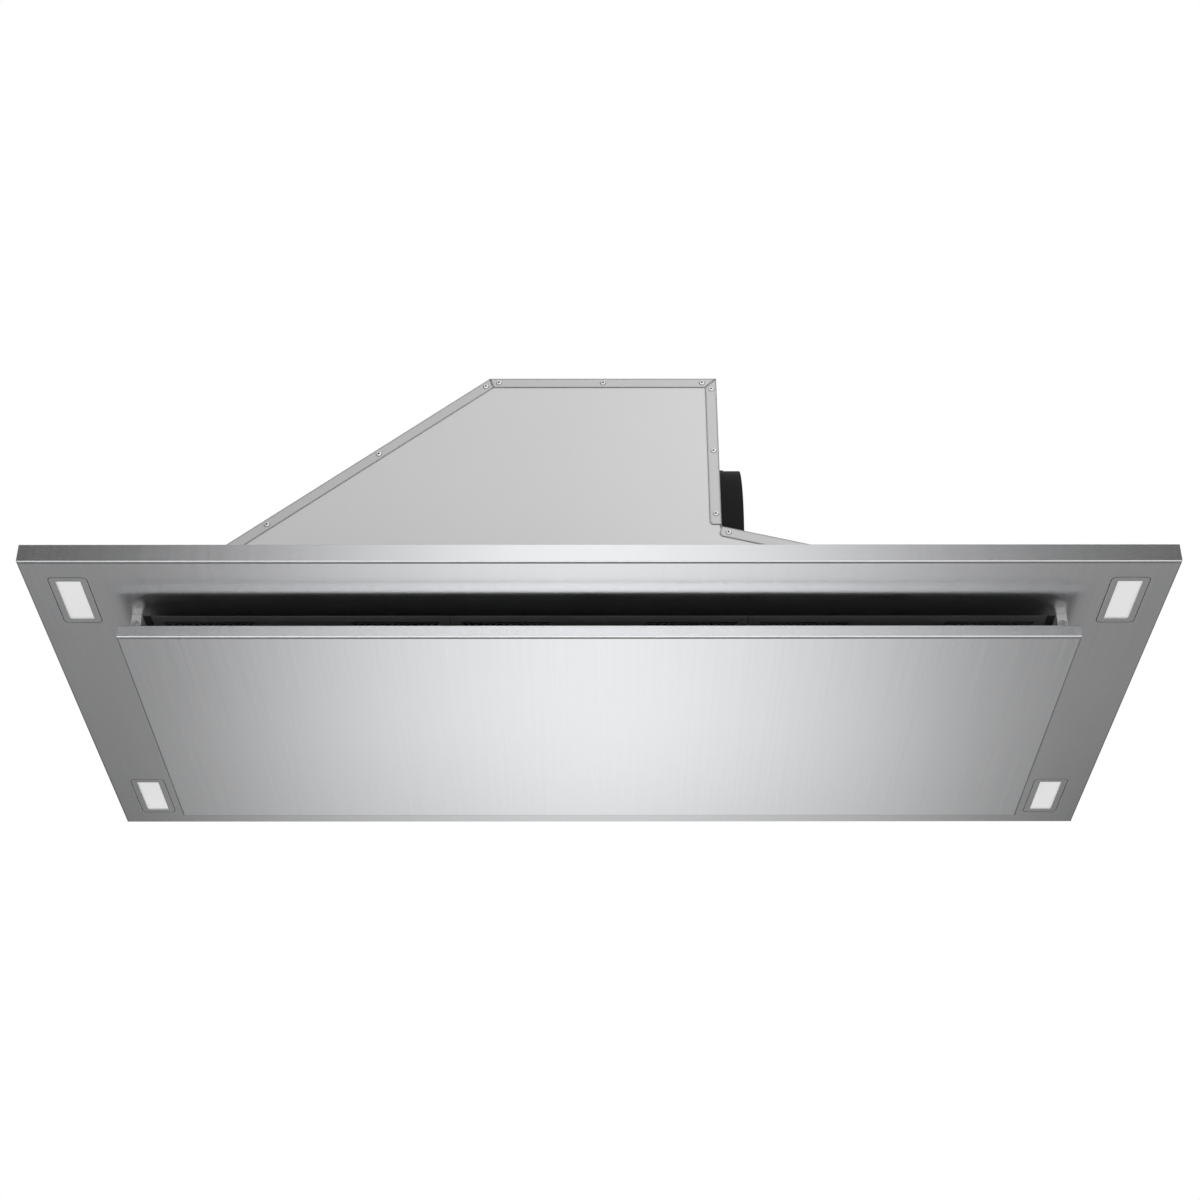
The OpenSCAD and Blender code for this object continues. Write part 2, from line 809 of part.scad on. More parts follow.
module seam_pair(holes_from_x, holes_to_x) {
    for (from_y = [-body_half, panel_face_y])
        difference() {
            upright(from_y, body_sheet) children();
            for (point = rivet_points)
                if (point[0] > holes_from_x && point[0] < holes_to_x)
                    translate([point[0], from_y + body_sheet / 2, point[1]]) rotate([90, 0, 0])
                        sheet_hole(rivet_shank);
        }
}

module body_wrap_sheet() {
    color(galvanised_colour) difference() {
        union() {
            upright(-body_half, body_depth) intersection() {
                band(body_sheet);
                translate([slope_foot_x, tray_floor_z])
                    square([wall_x - slope_foot_x, body_height - tray_floor_z]);
            }
            seam_pair(slope_foot_x, wall_x) wrap_seam();
            translate([slope_foot_x - foot_width, -panel_face_y, tray_floor_z])
                cube([foot_width + body_sheet / 2, 2 * panel_face_y, body_sheet]);
        }
        for (side_x = [-1, 1], side_y = [-1, 1])
            translate([top_mid_x + side_x * hanger_spacing_x / 2, side_y * hanger_spacing_y / 2,
                body_height - body_sheet - cut_overrun])
                cylinder(h = body_sheet + 2 * cut_overrun, r = hanger_hole / 2);
        across(wall_x - body_sheet - cut_overrun, body_sheet + 2 * cut_overrun)
            translate([0, collar_z]) circle(collar_r + collar_stop + bore_clearance);
        at_bracket_screws() screw_hole(body_sheet);
        at_collar_screws() screw_hole(body_sheet);
    }
}

module body_ramp_sheet() {
    color(galvanised_colour) {
        upright(-body_half, body_depth) intersection() {
            band(body_sheet);
            translate([wall_x, tray_floor_z])
                square([ramp_end_x - wall_x, body_height - tray_floor_z]);
        }
        seam_pair(wall_x, ramp_end_x) ramp_seam();
        translate([ramp_end_x - body_sheet / 2, -panel_face_y, tray_floor_z])
            cube([foot_width, 2 * panel_face_y, body_sheet]);
    }
}

module body_rivets() {
    color(bright_colour) at_rivets() {
        translate([0, -body_half, 0]) rotate([90, 0, 0]) blind_rivet();
        translate([0, body_half, 0]) rotate([-90, 0, 0]) blind_rivet();
    }
}

// Duct collar with two backdraft flaps
module duct_collar() {
    plate_height = 2 * collar_r + 2 * collar_top_gap - 2 * part_clearance;
    color(black_colour) difference() {
        union() {
            across(collar_plate_in_x, collar_plate) translate([0, collar_z])
                rounded_plate(collar_plate_depth, plate_height, seam_corner);
            across(collar_plate_in_x, collar_rim_x - collar_plate_in_x) translate([0, collar_z])
                circle(collar_r);
            across(collar_plate_in_x, wall_x + collar_stop_reach - collar_plate_in_x)
                translate([0, collar_z]) circle(collar_r + collar_stop);
        }
        across(collar_plate_in_x - cut_overrun, collar_rim_x - collar_plate_in_x + 2 * cut_overrun)
            translate([0, collar_z]) circle(collar_bore);
        for (side = [-1, 1])
            translate([flap_x, side * flap_pin_y, collar_z])
                cylinder(h = 2 * collar_r + 2 * cut_overrun, r = flap_pin / 2, center = true);
        at_collar_screws() screw_hole(body_sheet + collar_plate);
    }
    color(black_colour) across(collar_rim_x - rim_bead_width, rim_bead_width)
        translate([0, collar_z]) difference() {
            circle(collar_bore + rim_bead / 2);
            circle(collar_bore - rim_bead);
        }
}

module damper_flap(side) {
    color(dark_colour) translate([flap_x, 0, collar_z]) difference() {
        union() {
            across(-flap_sheet / 2, flap_sheet) intersection() {
                circle(flap_r);
                translate([side * (flap_pin_y + flap_r), 0]) square(2 * flap_r, center = true);
            }
            translate([0, side * flap_pin_y, -knuckle_half])
                cylinder(h = 2 * knuckle_half, r = flap_knuckle / 2);
        }
        translate([0, side * flap_pin_y, 0])
            cylinder(h = 2 * collar_r, r = flap_pin / 2 + running_fit, center = true);
        for (end = [-1, 1])
            translate([0, side * flap_pin_y, end * (knuckle_half + collar_r / 2)])
                cube([2 * flap_knuckle, flap_knuckle + 2 * part_clearance, collar_r], center = true);
    }
}

module damper_pins() {
    pin_half = sqrt(collar_r * collar_r - (flap_pin_y + flap_pin / 2) * (flap_pin_y + flap_pin / 2));
    color(bright_colour) for (side = [-1, 1])
        translate([flap_x, side * flap_pin_y, collar_z])
            cylinder(h = 2 * pin_half, r = flap_pin / 2, center = true);
}

module damper_springs() {
    coil_r = (flap_pin + spring_wire) / 2 + part_clearance;
    color(bright_colour) for (side = [-1, 1])
        translate([flap_x, side * flap_pin_y, collar_z + knuckle_half + part_clearance])
            coil(damper_coil_length, damper_coil_pitch, coil_r, spring_wire);
}

// Perimeter panel
module panel_pan() {
    color(panel_colour) translate([0, 0, panel_rim_z]) difference() {
        folded_block(panel_width, panel_depth, panel_lip, bend_radius, 0);
        folded_block(panel_width - 2 * panel_sheet, panel_depth - 2 * panel_sheet,
            panel_lip - panel_sheet, bend_radius - panel_sheet, cut_overrun);
    }
    color(panel_colour) difference() {
        level(inner_tray_z - panel_sheet, panel_sheet)
            square([panel_width - panel_sheet, panel_depth - panel_sheet], center = true);
        level(inner_tray_z - panel_sheet - cut_overrun, panel_sheet + 2 * cut_overrun)
            rounded_plate(intake_width, inner_opening_depth, inner_tray_corner);
        for (side = [-1, 1])
            at_strike_screws(side) screw_hole(strike_base + panel_sheet);
    }
}

module panel_inner_tray() {
    outer_width = intake_width - 2 * part_clearance;
    outer_depth = inner_opening_depth - 2 * part_clearance;
    tray_depth = panel_lip - panel_sheet - inner_tray_drop;
    color(black_colour) difference() {
        level(inner_tray_z - tray_depth, tray_depth)
            rounded_plate(outer_width, outer_depth, inner_tray_corner);
        level(inner_tray_z - tray_depth - cut_overrun, tray_depth - panel_sheet + cut_overrun)
            rounded_plate(outer_width - 2 * panel_sheet, outer_depth - 2 * panel_sheet,
                inner_tray_corner - panel_sheet);
        for (side = [-1, 1])
            at_leaf_screws(side) screw_hole(hinge_leaf_sheet + panel_sheet);
    }
}

module strike(side) {
    tongue_height = catch_z + strike_rise - inner_tray_z;
    color(bright_colour) difference() {
        union() {
            translate([side * catch_x, catch_mid_y, 0]) level(inner_tray_z, strike_base)
                square([catch_width, strike_base_length], center = true);
            translate([side * catch_x - strike_width / 2, catch_mid_y - strike_sheet / 2, inner_tray_z])
                cube([strike_width, strike_sheet, tongue_height]);
        }
        translate([side * catch_x, catch_mid_y, catch_z]) rotate([90, 0, 0])
            cylinder(h = strike_sheet + 2 * cut_overrun, r = strike_hole / 2, center = true);
        at_strike_screws(side) screw_hole(strike_base);
    }
}

module hinge_leaf(side) {
    color(bright_colour) difference() {
        union() {
            translate([side * hinge_x - hinge_leaf_width / 2, hinge_y - hinge_leaf_length, inner_tray_z])
                cube([hinge_leaf_width, hinge_leaf_length, hinge_leaf_sheet]);
            translate([side * hinge_x - hinge_leaf_width / 2, hinge_y - hinge_knuckle_r, inner_tray_z])
                cube([hinge_leaf_width, 2 * hinge_knuckle_r, hinge_z - inner_tray_z]);
            across(side * hinge_x - hinge_leaf_width / 2, hinge_leaf_width)
                translate([hinge_y, hinge_z]) circle(hinge_knuckle_r);
        }
        across(side * hinge_x - hinge_leaf_width, 2 * hinge_leaf_width)
            translate([hinge_y, hinge_z]) circle(hinge_pin_diameter / 2 + running_fit);
        at_leaf_screws(side) screw_hole(hinge_leaf_sheet);
    }
}

module panel_screws() {
    color(bright_colour) for (side = [-1, 1]) {
        at_leaf_screws(side) pan_screw();
        at_strike_screws(side) pan_screw();
    }
}

module hinge_bracket(side) {
    ear_x = hinge_leaf_width / 2 + part_clearance;
    color(bright_colour) difference() {
        union() {
            translate([side * hinge_x - hinge_plate_width / 2, hinge_y - hinge_ear_r,
                tray_under_z - hinge_plate])
                cube([hinge_plate_width, hinge_ear_r + hinge_plate_back, hinge_plate]);
            for (end = [-1, 1])
                across(side * hinge_x + end * (ear_x + hinge_ear / 2) - hinge_ear / 2, hinge_ear) {
                    translate([hinge_y, hinge_z]) circle(hinge_ear_r);
                    translate([hinge_y - hinge_ear_r, hinge_z])
                        square([2 * hinge_ear_r, tray_under_z - hinge_z]);
                }
        }
        across(side * hinge_x - hinge_plate_width, 2 * hinge_plate_width)
            translate([hinge_y, hinge_z]) circle(hinge_pin_diameter / 2);
        at_hinge_screws(side) screw_hole(tray_sheet + hinge_plate);
    }
}

module hinge_pins() {
    pin_reach = hinge_leaf_width / 2 + part_clearance + hinge_ear;
    color(bright_colour) for (side = [-1, 1])
        translate([side * hinge_x - pin_reach, hinge_y, hinge_z]) rotate([0, 90, 0]) {
            cylinder(h = 2 * pin_reach + hinge_pin_head_length, r = hinge_pin_diameter / 2);
            for (end = [-hinge_pin_head_length, 2 * pin_reach])
                translate([0, 0, end]) cylinder(h = hinge_pin_head_length, r = hinge_pin_head / 2);
        }
}

// Ball catches at the front corners, with a sprung ball each side of the strike
module catch_housing(side) {
    color(bright_colour) difference() {
        upright(catch_front_y, catch_length) translate([side * catch_x, 0]) {
            translate([-catch_width / 2, catch_z]) square([catch_width, catch_drop]);
            translate([0, catch_z]) circle(catch_width / 2);
        }
        translate([side * catch_x - catch_width, catch_mid_y - catch_slot / 2, catch_z - catch_width])
            cube([2 * catch_width, catch_slot, catch_width + catch_slot_rise]);
        upright(catch_front_y - cut_overrun, catch_length + 2 * cut_overrun)
            translate([side * catch_x, catch_z]) circle(catch_bore / 2);
        at_catch_screws(side) screw_hole(screw_length);
    }
}

module at_catch_ends(side) {
    translate([side * catch_x, catch_front_y, catch_z]) rotate([90, 0, 0]) children();
    translate([side * catch_x, catch_front_y + catch_length, catch_z]) rotate([-90, 0, 0]) children();
}

module catch_balls() {
    ball_depth = (catch_length - catch_slot) / 2 + ball_stand_out - ball_diameter / 2;
    color(bright_colour) for (side = [-1, 1])
        at_catch_ends(side) translate([0, 0, -ball_depth]) sphere(ball_diameter / 2);
}

module catch_adjusters() {
    color(bright_colour) for (side = [-1, 1])
        at_catch_ends(side) difference() {
            union() {
                cylinder(h = adjuster_head, r = adjuster_head_r);
                translate([0, 0, -adjuster_length])
                    cylinder(h = adjuster_length, r = catch_bore / 2 - bore_clearance);
            }
            rotate([0, 0, 60]) translate([-2 * adjuster_head_r, -adjuster_slot / 2, adjuster_head / 3])
                cube([4 * adjuster_head_r, adjuster_slot, adjuster_head]);
        }
}

module catch_springs() {
    ball_depth = (catch_length - catch_slot) / 2 + ball_stand_out - ball_diameter / 2;
    spring_length = ball_depth - ball_diameter / 2 - adjuster_length + spring_seat_gap;
    color(bright_colour) for (side = [-1, 1])
        at_catch_ends(side) translate([0, 0, -adjuster_length - spring_length])
            coil(spring_length, catch_spring_pitch, catch_spring_coil, catch_spring_wire);
}

// Filters
module filter_rails() {
    rail_from = intake_width / 2 - rail_width;
    color(black_colour) for (side = [-1, 1])
        upright(-filter_half, filter_depth) mirror([side > 0 ? 0 : 1, 0])
            translate([rail_from, tray_under_z]) {
                square([rail_width, rail_sheet]);
                translate([rail_width - rail_sheet, 0]) square([rail_sheet, filter_thickness]);
                translate([rail_width - rail_lip, filter_thickness - rail_sheet])
                    square([rail_lip, rail_sheet]);
            }
}

module filter_frame(index) {
    color(black_colour) at_filter(index) {
        difference() {
            level(0, filter_thickness) square([filter_width, filter_depth], center = true);
            for (side = [-1, 1])
                translate([side * window_x, 0, 0]) level(-cut_overrun, filter_thickness + 2 * cut_overrun)
                    square([window_width, window_depth], center = true);
            level(strip_sheet, filter_thickness) square([window_span, window_depth], center = true);
            level(-cut_overrun, strip_rise + cut_overrun)
                square([window_span, window_depth], center = true);
            level(strip_sheet, mesh_sheet)
                square([window_span + 2 * mesh_bite, window_depth + 2 * mesh_bite], center = true);
            translate([0, cup_mid_y, 0]) level(-cut_overrun, filter_thickness)
                stadium(cup_width, cup_length);
            mitre_marks();
            translate([0, -filter_half, 0]) latch_bolt_hole(filter_border);
        }
        filter_cup();
        for (side = [-1, 1])
            translate([side * tab_x - tab_width / 2, filter_half - tab_reach, tab_level])
                cube([tab_width, tab_reach + filter_fore_gap + tray_sheet + tab_reach, tab_sheet]);
    }
}

module mitre_marks() {
    mark_run = filter_border * sqrt(2);
    for (side_x = [-1, 1], side_y = [-1, 1])
        translate([side_x * filter_width / 2, side_y * filter_half, 0])
            rotate([0, 0, atan2(-side_y, -side_x)])
                translate([0, -mitre_groove / 2, -cut_overrun])
                    cube([mark_run, mitre_groove, cut_overrun + mitre_depth]);
}

module latch_bolt_hole(wall) {
    hole_width = latch_bolt_width + 2 * part_clearance;
    translate([-hole_width / 2, -cut_overrun, latch_bolt_level - part_clearance])
        cube([hole_width, wall + 2 * cut_overrun, latch_bolt_height + 2 * part_clearance]);
}

module filter_cup() {
    translate([0, cup_mid_y, 0]) difference() {
        level(strip_rise, cup_depth - strip_rise)
            stadium(cup_width + 2 * cup_wall, cup_length + 2 * cup_wall);
        level(0, cup_depth - cup_wall) stadium(cup_width, cup_length);
        translate([0, -cup_length / 2 - 2 * cup_wall, 0]) latch_bolt_hole(cup_r / 2);
    }
}

module filter_mesh(index) {
    pitch_x = window_width / mesh_columns;
    pitch_y = window_depth / (mesh_rows + 1);
    color(dark_colour) at_filter(index) difference() {
        level(strip_sheet, mesh_sheet)
            square([window_span + 2 * mesh_bite, window_depth + 2 * mesh_bite], center = true);
        level(strip_sheet - cut_overrun, mesh_sheet + 2 * cut_overrun)
            square([handle_strip - 2 * mesh_window_inset, window_depth - 2 * mesh_bite], center = true);
        level(strip_sheet - cut_overrun, mesh_sheet + 2 * cut_overrun)
            for (side = [-1, 1], row = [1 : mesh_rows])
                for (column = [1 : mesh_columns - row % 2])
                    translate([
                        side * window_x - window_width / 2 + (column - (1 - row % 2) / 2) * pitch_x,
                        row * pitch_y - window_depth / 2
                    ]) mesh_diamond(pitch_x / 2 - mesh_strand / 2, pitch_y - mesh_strand);
    }
}

module mesh_diamond(half_x, half_y) {
    polygon([[half_x, 0], [0, half_y], [-half_x, 0], [0, -half_y]]);
}

module filter_latch(index) {
    bolt_from = -intake_depth / 2 - tray_sheet - latch_bolt_reach;
    pad_from = cup_mid_y - cup_length / 2 + latch_pad_front;
    pad_height = cup_depth - cup_wall - latch_floor_gap - latch_pad_level;
    color(motor_colour) at_filter(index) difference() {
        union() {
            translate([-latch_bolt_width / 2, bolt_from, latch_bolt_level])
                cube([latch_bolt_width, pad_from - bolt_from + latch_grip, latch_bolt_height]);
            translate([0, pad_from + latch_pad_length / 2, 0]) level(latch_pad_level, pad_height)
                rounded_plate(latch_pad_width, latch_pad_length, latch_grip / 2);
        }
        upright(pad_from + latch_grip, latch_pad_length - 2 * latch_grip)
            translate([0, latch_pad_level - latch_grip])
                circle(2 * latch_grip);
    }
}

module latch_springs() {
    spring_from = cup_mid_y - cup_length / 2 + latch_pad_front + latch_pad_length + spring_seat_gap;
    spring_to = cup_mid_y + cup_length / 2 - spring_seat_gap;
    color(bright_colour) for (index = [-1 : 1])
        at_filter(index) translate([0, spring_to, latch_bolt_level])
            rotate([90, 0, 0])
                coil(spring_to - spring_from, spring_pitch, spring_coil - spring_wire / 2, spring_wire);
}

// Blower
module scroll_outline(grow) {
    half_step = scroll_growth / 2;
    lead = scroll_lead_in + grow;
    reach = 2 * scroll_lead_in;
    translate([wheel_x, wheel_z]) {
        intersection() {
            translate([-half_step, -half_step]) circle(lead);
            translate([-half_step, -reach - half_step]) square(reach);
        }
        intersection() {
            translate([-half_step, half_step]) circle(lead + scroll_growth);
            translate([-half_step - reach, half_step - reach]) square(reach);
        }
        intersection() {
            translate([half_step, half_step]) circle(lead + 2 * scroll_growth);
            translate([half_step - reach, half_step]) square(reach);
        }
        square(4 * scroll_growth, center = true);
    }
    translate([wheel_x + half_step, outlet_floor_z - grow])
        square([outlet_end_x - wheel_x - half_step, wheel_z + scroll_top - outlet_floor_z + 2 * grow]);
}

module blower_scroll() {
    color(galvanised_colour) difference() {
        union() {
            upright(-scroll_half - scroll_sheet, scroll_width + 2 * scroll_sheet)
                scroll_outline(scroll_sheet);
            blower_brackets();
        }
        upright(-scroll_half, scroll_width) scroll_outline(0);
        translate([outlet_end_x - cut_overrun, -scroll_half, outlet_floor_z])
            cube([2 * cut_overrun, scroll_width, wheel_z + scroll_top - outlet_floor_z]);
        upright(-scroll_width, 2 * scroll_width) translate([wheel_x, wheel_z]) circle(inlet_hole_r);
        at_bracket_screws() screw_hole(screw_length);
        at_arm_screws(inlet_screw_r) screw_hole(screw_length);
    }
}

module blower_brackets() {
    outer_y = scroll_half + scroll_sheet;
    under_z = body_height - body_sheet;
    for (place = bracket_places, side = [-1, 1]) mirror([0, side > 0 ? 0 : 1, 0]) {
        translate([place - bracket_width / 2, outer_y, under_z - bracket_drop])
            cube([bracket_width, bracket_sheet, bracket_drop]);
        translate([place - bracket_width / 2, outer_y, under_z - bracket_sheet])
            cube([bracket_width, bracket_tab + bracket_sheet, bracket_sheet]);
    }
}

module inlet_ring(side) {
    flange_y = scroll_half + scroll_sheet;
    bell_mid_r = throat_r + bell_r;
    bell_mid_y = flange_y + inlet_sheet - bell_r;
    throat_end = wheel_half + throat_gap;
    color(galvanised_colour) difference() {
        translate([wheel_x, 0, wheel_z]) rotate([side > 0 ? -90 : 90, 0, 0]) rotate_extrude() {
            intersection() {
                difference() {
                    translate([bell_mid_r, bell_mid_y]) circle(bell_r);
                    translate([bell_mid_r, bell_mid_y]) circle(bell_r - inlet_sheet);
                }
                translate([throat_r - inlet_sheet, bell_mid_y])
                    square([bell_r + inlet_sheet, bell_r + inlet_sheet]);
            }
            translate([bell_mid_r, flange_y]) square([inlet_flange_r - bell_mid_r, inlet_sheet]);
            translate([throat_r, throat_end]) square([inlet_sheet, bell_mid_y - throat_end]);
        }
        if (side > 0) at_arm_screws(inlet_screw_r) screw_hole(screw_length);
    }
}

module blade_outline() {
    mid_r = (wheel_r + blade_inner_r) / 2;
    intersection() {
        difference() {
            translate([mid_r, -blade_bow_r]) circle(blade_bow_r);
            translate([mid_r, -blade_bow_r]) circle(blade_bow_r - blade_thickness);
        }
        difference() {
            circle(wheel_r - blade_thickness);
            circle(blade_inner_r);
        }
        translate([0, -blade_bow_r * 3 / 4]) square([wheel_r, blade_bow_r]);
    }
}

module blower_wheel() {
    color(wheel_colour) translate([wheel_x, 0, wheel_z]) {
        upright(-wheel_half, wheel_length)
            for (blade = [0 : blade_count - 1]) rotate(blade * 360 / blade_count) blade_outline();
        for (from_y = [-wheel_half, wheel_half - rim_ring_width])
            upright(from_y, rim_ring_width) difference() {
                circle(wheel_r);
                circle(wheel_r - rim_ring_depth);
            }
        upright(-hub_disc / 2, hub_disc) circle(wheel_r - 2 * blade_thickness);
        upright(-hub_half, 2 * hub_half) circle(hub_r);
        upright(-shaft_front, shaft_front + motor_rear_y - motor_edge) circle(shaft_r);
    }
}

module blower_motor() {
    body_length = motor_rear_y - motor_front_y;
    color(motor_colour) translate([wheel_x, motor_front_y, wheel_z]) rotate([-90, 0, 0]) difference() {
        rotate_extrude() {
            square([motor_r, body_length - motor_edge]);
            square([motor_r - motor_edge, body_length]);
            translate([motor_r - motor_edge, body_length - motor_edge]) circle(motor_edge);
        }
        translate([0, 0, -cut_overrun]) cylinder(h = 2 * body_length, r = shaft_r + running_fit);
        motor_slots(body_length);
        for (turn = [90, 210, 330])
            rotate([0, 0, -turn]) translate([motor_screw_r, 0, body_length]) screw_hole(screw_length);
    }
}

module motor_slots(body_length) {
    slot_count = 12;
    for (slot = [1 : slot_count])
        rotate([0, 0, (slot + 1 / 2) * 360 / slot_count])
            translate([motor_r - motor_edge / 2, 0, body_length / 2])
                cube([2 * motor_edge, motor_edge / 2, body_length / 2], center = true);
}

module motor_arms() {
    color(galvanised_colour) difference() {
        upright(motor_rear_y, arm_thickness) translate([wheel_x, wheel_z]) difference() {
            union() {
                circle(arm_ring_r);
                for (turn = [90, 210, 330])
                    rotate(turn) {
                        translate([0, -arm_width / 2]) square([inlet_screw_r, arm_width]);
                        translate([inlet_screw_r, 0]) circle(arm_width / 2);
                    }
            }
            circle(arm_ring_bore);
        }
        at_arm_screws(inlet_screw_r) screw_hole(arm_thickness);
        at_arm_screws(motor_screw_r) screw_hole(arm_thickness);
    }
}

// Electrical pieces
module control_box() {
    color(box_colour) difference() {
        upright(box_front_y, box_depth) translate([box_x, box_z])
            rounded_plate(box_width, box_height, box_lid_lip);
        upright(box_front_y - cut_overrun, box_depth - box_wall + cut_overrun) translate([box_x, box_z])
            difference() {
                rounded_plate(box_width - 2 * box_wall, box_height - 2 * box_wall, box_lid_lip - box_wall);
                for (side_x = [-1, 1], side_z = [-1, 1])
                    translate([side_x * box_screw_x, side_z * box_screw_z]) circle(box_boss_r);
            }
        at_lid_screws() screw_hole(screw_length + box_lid);
        translate([gland_x, box_rear_y, gland_z]) rotate([90, 0, 0])
            cylinder(h = 2 * box_wall + 2 * cut_overrun, r = gland_thread / 2 + bore_clearance,
                center = true);
    }
}

module control_box_lid() {
    color(box_colour) difference() {
        upright(box_front_y - box_lid, box_lid) translate([box_x, box_z])
            rounded_plate(box_width, box_height, box_lid_lip);
        at_lid_screws() screw_hole(box_lid);
    }
}

module cable_gland() {
    nut_y = box_rear_y - box_wall - gland_nut_height;
    thread_length = panel_face_y - nut_y;
    color(dark_colour) translate([gland_x, panel_face_y, gland_z]) rotate([-90, 0, 0]) difference() {
        union() {
            translate([0, 0, -thread_length]) cylinder(h = thread_length, r = gland_thread / 2);
            translate([0, 0, -thread_length]) cylinder(h = gland_nut_height, r = gland_hex / 2, $fn = 6);
            cylinder(h = gland_hex_height, r = gland_hex / 2, $fn = 6);
            cylinder(h = gland_hex_height + gland_cap_height * 2 / 3, r = gland_cap / 2);
            cylinder(h = gland_hex_height + gland_cap_height, r = gland_cap / 3);
        }
        translate([0, 0, -thread_length - cut_overrun])
            cylinder(h = thread_length + 2 * gland_cap_height + gland_hex_height, r = gland_bore / 2);
    }
}

module run_capacitor() {
    base_y = panel_face_y - body_sheet;
    color(bright_colour) translate([capacitor_x, base_y, capacitor_z]) rotate([90, 0, 0]) {
        difference() {
            cylinder(h = capacitor_length, r = capacitor_r);
            translate([0, 0, capacitor_length - capacitor_rim])
                cylinder(h = capacitor_rim + cut_overrun, r = capacitor_r - capacitor_rim);
        }
        translate([0, 0, -body_sheet - 2 * capacitor_nut_height])
            cylinder(h = body_sheet + 2 * capacitor_nut_height + capacitor_rim, r = capacitor_stud / 2);
        translate([0, 0, -body_sheet - capacitor_nut_height])
            cylinder(h = capacitor_nut_height, r = capacitor_nut / 2, $fn = 6);
    }
}

module fixing_screws() {
    color(bright_colour) {
        for (side = [-1, 1]) {
            at_catch_screws(side) pan_screw();
            at_hinge_screws(side) pan_screw();
        }
        at_bracket_screws() pan_screw();
        at_collar_screws() pan_screw();
        at_arm_screws(inlet_screw_r) pan_screw();
        at_arm_screws(motor_screw_r) pan_screw();
        at_lid_screws() pan_screw();
    }
}

canopy_tray();
lamp_bezel(-1, -1);  // lamp_bezel_front_left
lamp_bezel(1, -1);  // lamp_bezel_front_right
lamp_bezel(-1, 1);  // lamp_bezel_rear_left
lamp_bezel(1, 1);  // lamp_bezel_rear_right
lamp_diffuser(-1, -1);  // lamp_diffuser_front_left
lamp_diffuser(1, -1);  // lamp_diffuser_front_right
lamp_diffuser(-1, 1);  // lamp_diffuser_rear_left
lamp_diffuser(1, 1);  // lamp_diffuser_rear_right
lamp_housing(-1, -1);  // lamp_housing_front_left
lamp_housing(1, -1);  // lamp_housing_front_right
lamp_housing(-1, 1);  // lamp_housing_rear_left
lamp_housing(1, 1);  // lamp_housing_rear_right
body_front_sheet();
body_rear_sheet();
body_wrap_sheet();
body_ramp_sheet();
body_rivets();
duct_collar();
damper_flap(-1);  // damper_flap_front
damper_flap(1);  // damper_flap_rear
damper_pins();
damper_springs();
panel_pan();
panel_inner_tray();
strike(-1);  // strike_left
strike(1);  // strike_right
hinge_leaf(-1);  // hinge_leaf_left
hinge_leaf(1);  // hinge_leaf_right
panel_screws();
hinge_bracket(-1);  // hinge_bracket_left
hinge_bracket(1);  // hinge_bracket_right
hinge_pins();
catch_housing(-1);  // catch_left
catch_housing(1);  // catch_right
catch_balls();
catch_adjusters();
catch_springs();
filter_rails();
filter_frame(-1);  // filter_frame_left
filter_frame(0);  // filter_frame_middle
filter_frame(1);  // filter_frame_right
filter_mesh(-1);  // filter_mesh_left
filter_mesh(0);  // filter_mesh_middle
filter_mesh(1);  // filter_mesh_right
filter_latch(-1);  // filter_latch_left
filter_latch(0);  // filter_latch_middle
filter_latch(1);  // filter_latch_right
latch_springs();
blower_scroll();
inlet_ring(-1);  // inlet_ring_front
inlet_ring(1);  // inlet_ring_rear
blower_wheel();
blower_motor();
motor_arms();
control_box();
control_box_lid();
cable_gland();
run_capacitor();
fixing_screws();
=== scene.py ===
"""Finishes, filter screens, springs and studio for the ceiling range hood."""

import math

import bmesh
import bpy
from mathutils import Euler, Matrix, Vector


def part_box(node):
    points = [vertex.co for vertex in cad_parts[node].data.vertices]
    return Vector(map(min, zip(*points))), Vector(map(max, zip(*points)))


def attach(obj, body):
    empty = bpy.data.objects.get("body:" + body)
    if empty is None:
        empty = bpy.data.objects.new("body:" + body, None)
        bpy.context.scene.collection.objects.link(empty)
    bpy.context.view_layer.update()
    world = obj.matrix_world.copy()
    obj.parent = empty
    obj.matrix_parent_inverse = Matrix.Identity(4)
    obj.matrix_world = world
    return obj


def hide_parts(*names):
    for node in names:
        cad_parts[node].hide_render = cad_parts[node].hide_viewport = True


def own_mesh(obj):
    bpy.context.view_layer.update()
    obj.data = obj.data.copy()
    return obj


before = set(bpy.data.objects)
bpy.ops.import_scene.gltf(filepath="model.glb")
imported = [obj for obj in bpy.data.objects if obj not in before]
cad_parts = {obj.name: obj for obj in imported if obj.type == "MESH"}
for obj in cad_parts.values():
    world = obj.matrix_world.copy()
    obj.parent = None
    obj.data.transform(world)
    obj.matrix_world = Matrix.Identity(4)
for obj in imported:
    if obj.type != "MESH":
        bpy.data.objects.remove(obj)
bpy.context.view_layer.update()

bl_info = {
    "name": "Ceiling range hood",
    "version": (1, 0, 0),
    "blender": (4, 5, 0),
    "location": "3D View > Sidebar > Range hood",
    "description": "Builds the looks of the ceiling range hood over its packed frame",
    "category": "Object",
}


# Settings


